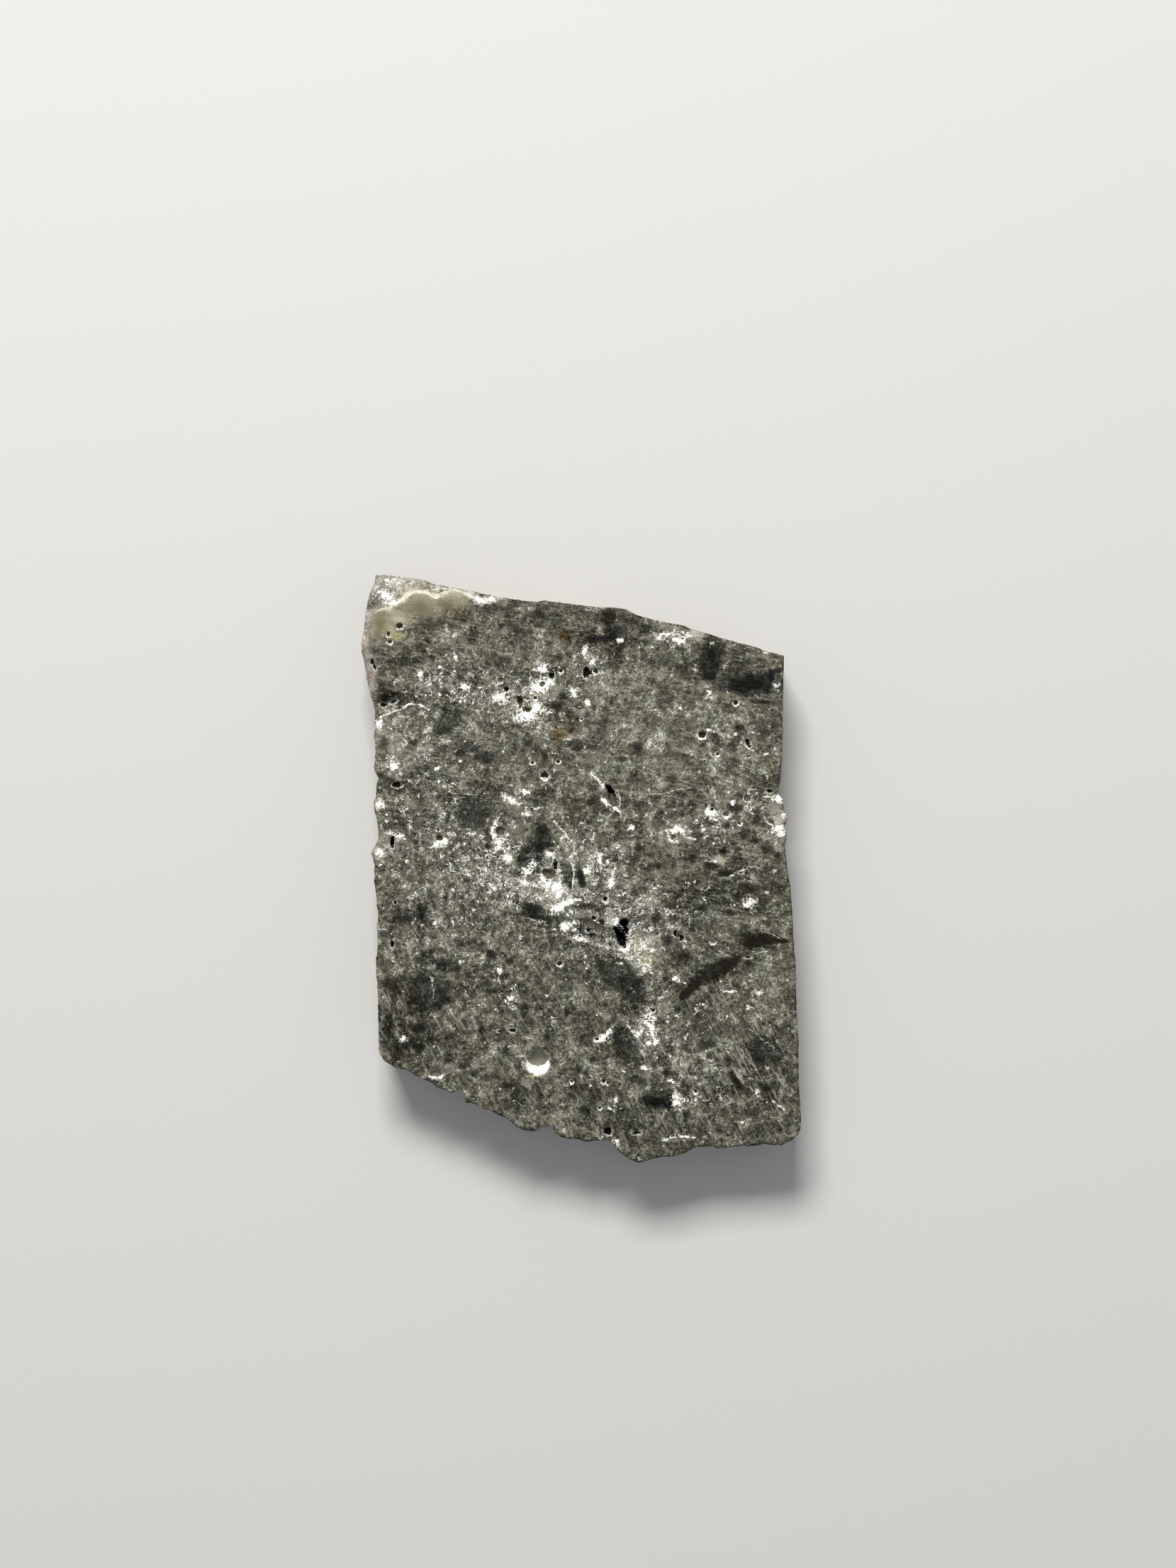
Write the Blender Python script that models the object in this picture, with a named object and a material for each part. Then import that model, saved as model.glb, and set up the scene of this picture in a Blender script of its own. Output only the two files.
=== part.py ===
"""A sawn slice of a lunar meteorite, as one closed stone.

The slice lies flat: +X and +Y run across its width and length, +Z comes out of the sawn
top face. The origin is at the middle of the flat underside. Sizes are in millimetres and
are turned to metres where a mesh is made.
"""
import bmesh
import bpy
import numpy as np
from mathutils import Matrix, Vector, noise

MM = 0.001

# Driving dimensions
THICKNESS = 2.2
WALL_STEP = 0.26            # spacing of the columns of faces round the wall
WALL_HEIGHTS = (1.58, 1.08, 0.50)
CHIP_STEP_DOWN = 0.30       # height of the little cliff at the chipped corner
CHIP_RIM_DOWN = 0.46        # how far the chip's outer rim lies below the sawn face
CHIP_CLIFF_SHARE = 0.35     # part of the way out where the cliff ends and the facet starts
FULL_CHIP_WIDTH = 0.22      # a chip at least this wide has its full depth
EDGE_BREAK = 0.10           # height of the crumbled band under the sawn edge
WALL_INSET = 0.06           # mean distance of the broken wall behind the sawn edge
WALL_ROUGHNESS = 0.17       # how far its lumps stand out and its hollows lie back
FOOT_INSET = 0.10           # the lower edge is a little rounded by breaking
LUMP_SIZE = 0.8             # width of a lump on the broken wall
PIT_RAGGEDNESS = 0.16       # how far a pit leaves a true ellipsoid, as a share of its radius
FINE_PIT_SIZE = 0.20        # pits wider than this get more faces

STONE_COLOUR = (0.130, 0.122, 0.095, 1.0)
STONE_ROUGHNESS = 0.62
SMOOTH_ANGLE = 0.6

# The outline of the chipped corner: the low outer rim, from the left side over the apex.
CHIP_RIM = [
    (-5.72, 4.70), (-5.80, 4.90), (-5.86, 5.25), (-5.98, 5.85), (-6.00, 6.10), (-5.96, 6.35),
    (-5.89, 6.70), (-5.82, 7.30), (-5.76, 7.50), (-5.66, 7.68), (-5.62, 7.98), (-5.30, 7.97),
    (-5.00, 7.94), (-4.60, 7.88), (-4.25, 7.82), (-4.05, 7.72), (-3.50, 7.62), (-3.00, 7.53),
    (-2.50, 7.42), (-2.15, 7.33),
]
# The edge of the sawn face behind that rim, from the same start to the same end.
CHIP_FACE = [
    (-5.60, 4.80), (-5.55, 5.00), (-5.50, 5.30), (-5.50, 5.50), (-5.62, 5.80), (-5.70, 6.00),
    (-5.70, 6.60), (-5.65, 6.80), (-5.55, 6.93), (-5.35, 6.97), (-5.20, 6.93), (-5.10, 7.10),
    (-4.75, 7.25), (-4.65, 7.40), (-4.50, 7.50), (-4.30, 7.50), (-4.10, 7.40), (-3.95, 7.30),
    (-3.50, 7.50), (-3.30, 7.52), (-2.95, 7.30), (-2.75, 7.10), (-2.50, 7.15), (-2.20, 7.25),
]
# The rest of the outline, from the end of the chip round to its start.
SAWN_RIM = [
    (-1.75, 7.28), (-1.20, 7.20), (-0.70, 7.22), (0.00, 7.12), (1.00, 7.05), (1.25, 7.00),
    (1.50, 6.85), (2.00, 6.72), (3.00, 6.47), (3.90, 6.20), (4.70, 6.00), (5.30, 5.80),
    (5.50, 5.75), (5.50, 5.50), (5.46, 4.00), (5.45, 3.00), (5.36, 2.15), (5.36, 2.00),
    (5.50, 1.65), (5.58, 1.25), (5.50, 1.10), (5.57, 1.00), (5.52, 0.60), (5.63, -0.30),
    (5.74, -1.50), (5.83, -3.00), (5.90, -4.75), (5.91, -6.00), (5.97, -6.80), (5.95, -7.10),
    (5.85, -7.30), (5.70, -7.42), (5.45, -7.53), (4.20, -7.56), (3.90, -7.62), (3.50, -7.57),
    (3.20, -7.56), (2.90, -7.72), (2.30, -7.84), (1.90, -7.92), (1.60, -8.02), (1.25, -7.88),
    (0.93, -7.65), (0.80, -7.42), (0.20, -7.45), (-0.30, -7.37), (-0.75, -7.23), (-0.78, -7.00),
    (-1.10, -7.08), (-1.12, -7.17), (-1.40, -7.17), (-1.80, -7.02), (-2.10, -6.77),
    (-2.60, -6.55), (-3.12, -6.38), (-3.20, -6.05), (-3.30, -5.98), (-3.55, -6.12),
    (-4.10, -5.85), (-4.70, -5.50), (-5.20, -5.35), (-5.45, -5.10), (-5.50, -4.90),
    (-5.51, -4.00), (-5.58, -2.60), (-5.53, -2.20), (-5.52, -1.25), (-5.62, -0.20),
    (-5.70, 0.40), (-5.52, 0.75), (-5.52, 1.20), (-5.62, 1.75), (-5.50, 2.40), (-5.62, 2.65),
    (-5.58, 3.20), (-5.62, 4.00), (-5.65, 4.50),
]

# Bubble pits in the sawn face: x, y, half width, half length, turn in degrees, depth.
FACE_PITS = [
    (-1.17, -5.30, 0.31, 0.31, 0, 0.24), (1.18, -1.47, 0.12, 0.17, 0, 0.26),
    (1.08, -1.85, 0.15, 0.30, -15, 0.30), (0.82, 2.02, 0.18, 0.32, 25, 0.28),
    (0.78, 1.50, 0.18, 0.12, 0, 0.10), (-5.13, 0.68, 0.09, 0.21, 0, 0.20),
    (-5.13, -2.08, 0.08, 0.13, 0, 0.15), (-3.85, 0.80, 0.13, 0.13, 0, 0.12),
    (-2.20, 0.95, 0.19, 0.19, 0, 0.14), (-0.85, -0.30, 0.25, 0.25, 0, 0.16),
    (-1.00, 2.50, 0.13, 0.13, 0, 0.10), (-1.63, 4.47, 0.12, 0.21, 10, 0.16),
    (-0.80, 5.22, 0.12, 0.14, 0, 0.14), (-2.03, 4.85, 0.10, 0.10, 0, 0.10),
    (0.17, 5.30, 0.18, 0.21, 0, 0.18), (-4.95, 6.53, 0.13, 0.11, 0, 0.13),
    (-5.23, 6.33, 0.08, 0.09, 0, 0.10), (3.28, 3.60, 0.12, 0.12, 0, 0.10),
    (4.20, 4.46, 0.09, 0.09, 0, 0.09), (5.27, 4.97, 0.10, 0.10, 0, 0.10),
    (4.53, 3.42, 0.09, 0.11, 0, 0.09), (3.95, 1.42, 0.13, 0.13, 0, 0.11),
    (4.50, 1.90, 0.15, 0.15, 0, 0.12), (5.05, 2.10, 0.09, 0.09, 0, 0.09),
    (0.38, -1.38, 0.09, 0.08, 0, 0.09), (-0.70, 0.10, 0.08, 0.16, 10, 0.12),
    (-2.50, 0.62, 0.11, 0.11, 0, 0.09), (-0.60, -2.63, 0.10, 0.10, 0, 0.09),
    (3.60, -2.05, 0.10, 0.10, 0, 0.09), (4.00, -3.30, 0.16, 0.16, 0, 0.12),
    (4.50, -2.45, 0.15, 0.09, -20, 0.10), (2.65, -1.75, 0.14, 0.22, 10, 0.14),
    (-3.95, -5.60, 0.21, 0.21, 0, 0.14), (-1.87, -4.42, 0.10, 0.08, 0, 0.09),
    (-4.95, 4.55, 0.42, 0.20, 8, 0.20), (1.50, -7.20, 0.13, 0.08, 0, 0.09),
]
# Pits on the hidden underside, with the same six numbers.
UNDERSIDE_PITS = [
    (-3.40, 4.70, 0.26, 0.20, 30, 0.18), (2.60, 4.10, 0.16, 0.16, 0, 0.12),
    (-1.30, 3.30, 0.14, 0.24, -20, 0.16), (4.10, 0.90, 0.22, 0.18, 10, 0.15),
    (-4.30, -0.60, 0.18, 0.18, 0, 0.13), (2.30, -2.30, 0.28, 0.22, 40, 0.20),
    (-2.30, -3.40, 0.13, 0.13, 0, 0.11), (4.60, -5.10, 0.17, 0.24, 0, 0.15),
    (0.40, -5.70, 0.20, 0.16, 15, 0.14), (-3.10, 1.70, 0.12, 0.12, 0, 0.10),
]
# Hollows broken into the wall: x, y, height, half width along the wall, half height, depth.
WALL_PITS = [
    (5.50, 3.60, 1.15, 0.30, 0.25, 0.16), (5.86, -4.30, 0.95, 0.26, 0.34, 0.18),
    (5.60, -0.30, 1.25, 0.20, 0.22, 0.13), (-5.58, 2.95, 0.95, 0.28, 0.26, 0.16),
    (-5.54, -3.30, 1.20, 0.24, 0.30, 0.16), (2.30, 6.64, 1.05, 0.30, 0.26, 0.17),
    (-3.60, 7.64, 0.80, 0.34, 0.24, 0.17), (4.40, -7.54, 1.10, 0.24, 0.28, 0.16),
    (-1.95, -6.85, 1.00, 0.28, 0.24, 0.16), (0.72, -7.28, 2.05, 0.16, 0.20, 0.16),
]


def clear_scene():
    """Removes every object that the file holds when it opens."""
    for old in list(bpy.data.objects):
        bpy.data.objects.remove(old, do_unlink=True)


def even_points(points, count):
    """Walks along the straight runs between points and gives count evenly spaced places."""
    corners = np.array(points, float)
    runs = np.linalg.norm(np.diff(corners, axis=0), axis=1)
    travelled = np.concatenate([[0.0], np.cumsum(runs)])
    wanted = np.linspace(0.0, travelled[-1], count)
    return np.column_stack([np.interp(wanted, travelled, corners[:, k]) for k in range(2)])


def run_length(points):
    """Length of the straight runs between points."""
    return float(np.linalg.norm(np.diff(np.array(points, float), axis=0), axis=1).sum())


def outline_pair():
    """The stone's rim and the edge of its sawn face, with matching points, clockwise."""
    chip_count = round(run_length(CHIP_RIM) / WALL_STEP)
    rest = [CHIP_RIM[-1]] + SAWN_RIM + [CHIP_RIM[0]]
    rest_points = even_points(rest, round(run_length(rest) / WALL_STEP))[1:-1]
    rim = np.vstack([even_points(CHIP_RIM, chip_count), rest_points])
    face = np.vstack([even_points(CHIP_FACE, chip_count), rest_points])
    return rim, face


def outward_directions(rim):
    """Unit vectors that point out of the outline, each averaged over its neighbours."""
    along = np.roll(rim, -1, axis=0) - np.roll(rim, 1, axis=0)
    across = np.column_stack([-along[:, 1], along[:, 0]])
    smooth = sum(np.roll(across, shift, axis=0) for shift in range(-3, 4))
    return smooth / np.linalg.norm(smooth, axis=1)[:, None]


def lump(x, y, z):
    """Height of the lumpy broken surface at a place, from about -1 to 1."""
    place = Vector((x, y, z)) / LUMP_SIZE
    return noise.fractal(place, 0.9, 2.1, 3, noise_basis="PERLIN_ORIGINAL")


def wall_rings():
    """Rings of points from the sawn face down to the underside, as (x, y, z) arrays."""
    rim, face = outline_pair()
    outward = outward_directions(rim)
    chip = np.linalg.norm(rim - face, axis=1) / FULL_CHIP_WIDTH
    chip = np.clip(chip, 0.0, 1.0)
    rings = [np.column_stack([face, np.full(len(face), THICKNESS)])]

    # Just under the sawn edge: crumbled rim, or the foot of the little cliff at the chip.
    foot = face + (rim - face) * CHIP_CLIFF_SHARE * chip[:, None]
    foot_down = EDGE_BREAK + (CHIP_STEP_DOWN - EDGE_BREAK) * chip
    rings.append(np.column_stack([foot, THICKNESS - foot_down]))

    # The outer rim, which is the widest place of the wall.
    rim_down = 1.6 * EDGE_BREAK + (CHIP_RIM_DOWN - 1.6 * EDGE_BREAK) * chip
    rings.append(np.column_stack([rim, THICKNESS - rim_down]))

    # The broken wall, lumpy and mostly behind the rim.
    for height in WALL_HEIGHTS:
        lumps = np.array([lump(x, y, height) for x, y in rim])
        inset = np.maximum(WALL_INSET + WALL_ROUGHNESS * lumps, 0.0)
        rings.append(np.column_stack([rim - outward * inset[:, None], np.full(len(rim), height)]))

    lumps = np.array([lump(x, y, -1.0) for x, y in rim])
    inset = FOOT_INSET + 0.5 * WALL_ROUGHNESS * lumps
    rings.append(np.column_stack([rim - outward * inset[:, None], np.zeros(len(rim))]))
    return rings


def stone_mesh():
    """The slab with its broken wall, before the pits are cut."""
    rings = wall_rings()
    mesh = bmesh.new()
    loops = [[mesh.verts.new(Vector(point) * MM) for point in ring] for ring in rings]
    count = len(loops[0])
    for upper, lower in zip(loops[:-1], loops[1:]):
        for k in range(count):
            after = (k + 1) % count
            mesh.faces.new((upper[k], upper[after], lower[after], lower[k]))
    mesh.faces.new(loops[0])
    mesh.faces.new(loops[-1])
    bmesh.ops.triangulate(mesh, faces=[f for f in mesh.faces if len(f.verts) == 4])
    bmesh.ops.recalc_face_normals(mesh, faces=mesh.faces)
    return mesh


def add_ragged_bubble(mesh, place, turn, radii, seed):
    """Adds a closed, slightly uneven ellipsoid: the shape that a bubble leaves in rock."""
    detail = 3 if max(radii) > FINE_PIT_SIZE else 2
    ball = bmesh.ops.create_icosphere(mesh, subdivisions=detail, radius=1.0)["verts"]
    for vert in ball:
        uneven = noise.noise(vert.co * 1.7 + Vector((seed * 3.1, 0.0, 0.0)))
        vert.co *= 1.0 + PIT_RAGGEDNESS * uneven
    size = Matrix.Diagonal((*[r * MM for r in radii], 1.0))
    bmesh.ops.transform(mesh, matrix=Matrix.Translation(Vector(place) * MM) @ turn @ size, verts=ball)


def bubble_mesh():
    """All the bubbles that are cut out of the two faces and the wall."""
    mesh = bmesh.new()
    seed = 0
    for height, pits in ((THICKNESS, FACE_PITS), (0.0, UNDERSIDE_PITS)):
        for x, y, half_width, half_length, degrees, depth in pits:
            turn = Matrix.Rotation(np.radians(degrees), 4, "Z")
            add_ragged_bubble(mesh, (x, y, height), turn, (half_width, half_length, depth), seed)
            seed += 1
    for x, y, height, half_width, half_height, depth in WALL_PITS:
        turn = Matrix.Rotation(np.radians(90.0 if abs(y) > abs(x) else 0.0), 4, "Z")
        add_ragged_bubble(mesh, (x, y, height), turn, (depth, half_width, half_height), seed)
        seed += 1
    return mesh


def make_object(name, mesh):
    """Puts a finished bmesh into the scene as an object of that name."""
    data = bpy.data.meshes.new(name)
    mesh.to_mesh(data)
    mesh.free()
    made = bpy.data.objects.new(name, data)
    bpy.context.collection.objects.link(made)
    return made


def stone_material():
    """Grey-olive breccia, matt where it is broken and dull where it is sawn."""
    material = bpy.data.materials.new("sawn_breccia")
    material.use_nodes = True
    shader = material.node_tree.nodes["Principled BSDF"]
    shader.inputs["Base Color"].default_value = STONE_COLOUR
    shader.inputs["Roughness"].default_value = STONE_ROUGHNESS
    shader.inputs["Metallic"].default_value = 0.0
    return material


def cut_bubbles(stone):
    """Cuts the bubble pits out of the stone and keeps their cutter as a hidden guide."""
    cutter = make_object("bubble_cutter", bubble_mesh())
    cutter.display_type = "WIRE"
    cutter.hide_render = True
    cut = stone.modifiers.new("bubble pits", "BOOLEAN")
    cut.operation = "DIFFERENCE"
    cut.solver = "EXACT"
    cut.use_self = True
    cut.object = cutter


def build():
    clear_scene()
    stone = make_object("meteorite_slice", stone_mesh())
    stone.data.materials.append(stone_material())
    stone.data.shade_smooth()
    stone.data.set_sharp_from_angle(angle=SMOOTH_ANGLE)
    cut_bubbles(stone)


build()
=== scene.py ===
# %% [markdown]
# # A sawn slice of the Moon
# Lunar breccia is soil and broken rock that impacts welded together. Dealers saw it into thin
# slices, so one piece shows a flat dull face, broken sides, bubble pits and bits of older rock.
# This lesson loads the measured solid, then works out a much finer surface for it with numpy
# and paints it with shader nodes.

# %% Load the measured stone
import math

import bpy
import numpy as np
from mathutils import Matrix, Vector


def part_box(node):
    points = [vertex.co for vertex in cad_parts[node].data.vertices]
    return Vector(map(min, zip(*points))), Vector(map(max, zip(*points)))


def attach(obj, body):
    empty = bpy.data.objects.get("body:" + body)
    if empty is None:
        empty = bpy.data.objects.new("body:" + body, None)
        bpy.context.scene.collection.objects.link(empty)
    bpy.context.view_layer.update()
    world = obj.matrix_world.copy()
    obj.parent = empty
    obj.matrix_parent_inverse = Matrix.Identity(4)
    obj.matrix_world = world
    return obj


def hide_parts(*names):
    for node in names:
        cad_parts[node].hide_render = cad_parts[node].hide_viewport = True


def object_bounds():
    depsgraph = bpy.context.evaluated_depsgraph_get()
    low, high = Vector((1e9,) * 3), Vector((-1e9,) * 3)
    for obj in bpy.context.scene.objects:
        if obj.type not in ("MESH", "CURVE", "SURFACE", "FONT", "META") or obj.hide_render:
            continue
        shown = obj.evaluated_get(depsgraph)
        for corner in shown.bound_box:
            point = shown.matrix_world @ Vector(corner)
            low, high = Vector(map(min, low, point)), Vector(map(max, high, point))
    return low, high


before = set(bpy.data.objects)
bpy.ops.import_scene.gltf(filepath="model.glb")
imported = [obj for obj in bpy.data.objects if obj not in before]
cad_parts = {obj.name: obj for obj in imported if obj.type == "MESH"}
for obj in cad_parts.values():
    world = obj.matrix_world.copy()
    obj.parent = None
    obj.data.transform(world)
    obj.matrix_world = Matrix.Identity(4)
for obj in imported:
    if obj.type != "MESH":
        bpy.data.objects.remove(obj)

MM = 0.001
STONE_NODE = "meteorite_slice"
cad_box = [list(corner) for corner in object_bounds()]
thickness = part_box(STONE_NODE)[1][2] / MM
print(f"The solid is {thickness:.2f} mm thick.")

# %% [markdown]
# ## The camera looks straight down
# A close-up of a slice is taken with its sawn face square to the lens. The camera hangs over the
# middle of the picture, and its lens is worked out from two facts: how many pixels of the picture
# cover a millimetre of stone, and how far away such a close-up is taken. A short distance keeps
# the slight spread of perspective, which an orthographic camera would lose.

# %% Camera
PICTURE_PIXELS = (1659, 2212)
PIXELS_PER_MM = 52.0
ORIGIN_PIXEL = (820, 1224)      # the pixel over the stone's origin
CAMERA_ABOVE_FACE = 80.0
SENSOR_LONG_SIDE = 36.0


def look_down():
    """Puts the camera over the picture's middle, with a lens that fits the picture's height."""
    data = bpy.data.cameras.new("close-up lens")
    data.sensor_width = SENSOR_LONG_SIDE
    data.lens = SENSOR_LONG_SIDE * CAMERA_ABOVE_FACE / (PICTURE_PIXELS[1] / PIXELS_PER_MM)
    data.clip_start = 0.002
    data.clip_end = 20.0
    camera = bpy.data.objects.new("camera", data)
    middle_x = (PICTURE_PIXELS[0] / 2 - ORIGIN_PIXEL[0]) / PIXELS_PER_MM
    middle_y = (ORIGIN_PIXEL[1] - PICTURE_PIXELS[1] / 2) / PIXELS_PER_MM
    camera.location = (middle_x * MM, middle_y * MM, (thickness + CAMERA_ABOVE_FACE) * MM)
    bpy.context.collection.objects.link(camera)
    bpy.context.scene.camera = camera
    return camera


camera = look_down()
print(f"The lens is {camera.data.lens:.1f} mm.")

# %% [markdown]
# ## Soft light from the far side
# The bubbles in the stone show as bright crescents on the side away from the light, so the main
# light stands beyond the top of the picture and shines down at a slant. It is a broad panel, so
# shadows stay soft. A pale surround fills them, and a plain pale floor carries the stone.

# %% Light and floor
KEY_PLACE = (-25.0, 120.0, 135.0)
KEY_SIZE = (70.0, 50.0)
KEY_WATTS = 0.42
KEY_COLOUR = (1.0, 0.975, 0.94)
SURROUND = (0.93, 0.96, 1.0, 1.0)
SURROUND_STRENGTH = 0.42
FLOOR_SIDE = 4000.0
FLOOR_COLOUR = (0.56, 0.555, 0.54, 1.0)
FLOOR_ROUGHNESS = 0.85
FLOOR_GLOSS = 0.2


def key_light():
    """A broad panel that faces the stone."""
    data = bpy.data.lights.new("soft panel", "AREA")
    data.shape = "RECTANGLE"
    data.size = KEY_SIZE[0] * MM
    data.size_y = KEY_SIZE[1] * MM
    data.energy = KEY_WATTS
    data.color = KEY_COLOUR
    lamp = bpy.data.objects.new("soft panel", data)
    lamp.location = [v * MM for v in KEY_PLACE]
    lamp.rotation_euler = (-lamp.location).to_track_quat("-Z", "Y").to_euler()
    bpy.context.collection.objects.link(lamp)


def surround():
    """A pale world that fills the shadows."""
    world = bpy.data.worlds.new("pale surround")
    world.use_nodes = True
    sky = world.node_tree.nodes["Background"]
    sky.inputs["Color"].default_value = SURROUND
    sky.inputs["Strength"].default_value = SURROUND_STRENGTH
    bpy.context.scene.world = world


def floor():
    """A plain pale floor, far wider than any view of the stone."""
    half = FLOOR_SIDE * MM / 2
    data = bpy.data.meshes.new("floor")
    corners = [(-half, -half, 0.0), (half, -half, 0.0), (half, half, 0.0), (-half, half, 0.0)]
    data.from_pydata(corners, [], [(0, 1, 2, 3)])
    material = bpy.data.materials.new("pale floor")
    material.use_nodes = True
    shader = material.node_tree.nodes["Principled BSDF"]
    shader.inputs["Base Color"].default_value = FLOOR_COLOUR
    shader.inputs["Roughness"].default_value = FLOOR_ROUGHNESS
    shader.inputs["Specular IOR Level"].default_value = FLOOR_GLOSS
    data.materials.append(material)
    ground = bpy.data.objects.new("floor", data)
    bpy.context.collection.objects.link(ground)


key_light()
surround()
floor()
bpy.context.scene.view_settings.view_transform = "Standard"
print("Light and floor are in place.")

# %% [markdown]
# ## Randomness that always comes out the same
# Broken rock needs random lumps, and the lesson must give the same stone each time. A hash turns
# the whole-number corners of a lattice into fixed random heights, and a smooth blend between the
# eight corners round a place gives the noise there. Octaves of it at half the width and half the
# height each make the rough, self-similar look of a fracture.

# %% Noise on whole arrays


def lattice_noise(places, width, seed):
    """Random heights from -1 to 1 at lattice corners a width apart, blended smoothly between."""
    scaled = places / width
    corner = np.floor(scaled).astype(np.int64)
    part = scaled - corner
    blend = part * part * (3.0 - 2.0 * part)
    total = np.zeros(len(places))
    for step in range(8):
        far = np.array([step & 1, (step >> 1) & 1, (step >> 2) & 1])
        x, y, z = (corner + far).T
        mixed = (x * 374761393 + y * 668265263 + z * 1274126177 + seed * 974711) & 0xFFFFFFFF
        mixed = ((mixed ^ (mixed >> 13)) * 1274126177) & 0xFFFFFFFF
        height = ((mixed ^ (mixed >> 16)) & 0xFFFF) / 32767.5 - 1.0
        weight = np.prod(np.where(far, blend, 1.0 - blend), axis=1)
        total += weight * height
    return total


def rough_noise(places, width, seed, octaves=4):
    """Octaves of lattice noise, each half as wide and half as high as the one before."""
    total = np.zeros(len(places))
    for octave in range(octaves):
        total += lattice_noise(places, width / 2**octave, seed + octave) / 2**octave
    return total / 1.6


def smooth_step(value, low, high):
    """0 below low, 1 above high, and an S-curve between them."""
    part = np.clip((value - low) / (high - low), 0.0, 1.0)
    return part * part * (3.0 - 2.0 * part)


print("Noise at one place:", rough_noise(np.array([[0.3, 0.2, 0.1]]), 1.0, 1).round(3))

# %% [markdown]
# ## The outline
# The slice has four sides with their own character: a nearly straight top and right side, a left
# side with small bites, and a stepped lower edge. Points are set only where the edge changes
# direction. Each side is then walked at even steps.

# %% Four sides
TOP_SIDE = [
    (-5.62, 7.98), (-5.3, 7.97), (-5, 7.94), (-4.6, 7.88), (-4.25, 7.82), (-4.05, 7.72), (-3.75, 7.67),
    (-3.5, 7.62), (-3, 7.53), (-2.5, 7.42), (-2.15, 7.33), (-1.75, 7.28), (-1.2, 7.2), (-1, 7.25),
    (-0.7, 7.22), (-0.4, 7.17), (0, 7.12), (0.5, 7.07), (1, 7.05), (1.25, 7), (1.5, 6.85), (1.75, 6.78),
    (2, 6.72), (2.5, 6.62), (2.8, 6.57), (3, 6.47), (3.5, 6.33), (3.9, 6.2), (4.3, 6.1), (4.7, 6),
    (5, 5.88), (5.3, 5.8), (5.5, 5.75),
]
RIGHT_SIDE = [
    (5.87, -7.27), (5.95, -7.1), (5.97, -6.8), (5.95, -6.5), (5.91, -6), (5.9, -5.5), (5.89, -5),
    (5.9, -4.75), (5.86, -4), (5.84, -3.5), (5.83, -3), (5.81, -2.5), (5.77, -2.25), (5.76, -1.9),
    (5.73, -1.2), (5.7, -0.9), (5.68, -0.5), (5.63, -0.3), (5.6, 0), (5.57, 0.25), (5.52, 0.6),
    (5.56, 0.75), (5.57, 1), (5.5, 1.1), (5.58, 1.25), (5.57, 1.45), (5.48, 1.55), (5.5, 1.65),
    (5.46, 1.85), (5.36, 2), (5.36, 2.15), (5.42, 2.5), (5.45, 3), (5.46, 4), (5.48, 5), (5.5, 5.5),
    (5.5, 5.75),
]
BOTTOM_SIDE = [
    (-5.46, -5.08), (-5.35, -5.25), (-5.2, -5.35), (-4.95, -5.47), (-4.7, -5.5), (-4.5, -5.65),
    (-4.3, -5.75), (-3.9, -5.95), (-3.7, -6.05), (-3.55, -6.12), (-3.38, -6.08), (-3.3, -5.98),
    (-3.23, -6.05), (-3.18, -6.25), (-3.12, -6.38), (-3, -6.38), (-2.85, -6.42), (-2.6, -6.55),
    (-2.3, -6.67), (-2.1, -6.77), (-1.95, -6.85), (-1.8, -7.02), (-1.55, -7.12), (-1.4, -7.17),
    (-1.16, -7.17), (-1.1, -7.08), (-0.9, -7.05), (-0.8, -7), (-0.76, -7.1), (-0.72, -7.23),
    (-0.5, -7.3), (-0.3, -7.37), (0, -7.4), (0.2, -7.45), (0.5, -7.42), (0.8, -7.42), (0.88, -7.5),
    (0.93, -7.65), (1.05, -7.72), (1.25, -7.88), (1.45, -7.97), (1.6, -8.02), (1.7, -8), (1.9, -7.92),
    (2.1, -7.87), (2.3, -7.84), (2.6, -7.78), (2.9, -7.72), (3, -7.62), (3.2, -7.56), (3.5, -7.57),
    (3.7, -7.62), (3.9, -7.62), (4.2, -7.56), (4.5, -7.54), (5, -7.53), (5.45, -7.53), (5.5, -7.48),
    (5.7, -7.42), (5.87, -7.27),
]
LEFT_SIDE = [
    (-5.46, -5.08), (-5.5, -4.9), (-5.5, -4.5), (-5.51, -4), (-5.52, -3.5), (-5.55, -3), (-5.58, -2.6),
    (-5.53, -2.2), (-5.54, -1.75), (-5.52, -1.25), (-5.56, -0.9), (-5.6, -0.5), (-5.62, -0.2),
    (-5.6, 0), (-5.65, 0.25), (-5.7, 0.4), (-5.62, 0.55), (-5.52, 0.75), (-5.5, 1), (-5.52, 1.2),
    (-5.55, 1.4), (-5.62, 1.55), (-5.62, 1.75), (-5.56, 1.95), (-5.58, 2.2), (-5.5, 2.4), (-5.62, 2.65),
    (-5.6, 2.9), (-5.58, 3.2), (-5.62, 3.55), (-5.58, 3.8), (-5.62, 4), (-5.6, 4.25), (-5.65, 4.5),
    (-5.72, 4.7), (-5.8, 4.9), (-5.86, 5.25), (-5.92, 5.6), (-5.98, 5.85), (-6, 6.1), (-5.96, 6.35),
    (-5.89, 6.7), (-5.87, 7), (-5.82, 7.3), (-5.76, 7.5), (-5.66, 7.68), (-5.62, 7.98),
]
ACROSS = 200                    # steps of the fine grid across the face
ALONG = 270                     # and along it
NIBBLE_WIDTH = 0.13             # of the tiny irregularities between the chosen points


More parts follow.
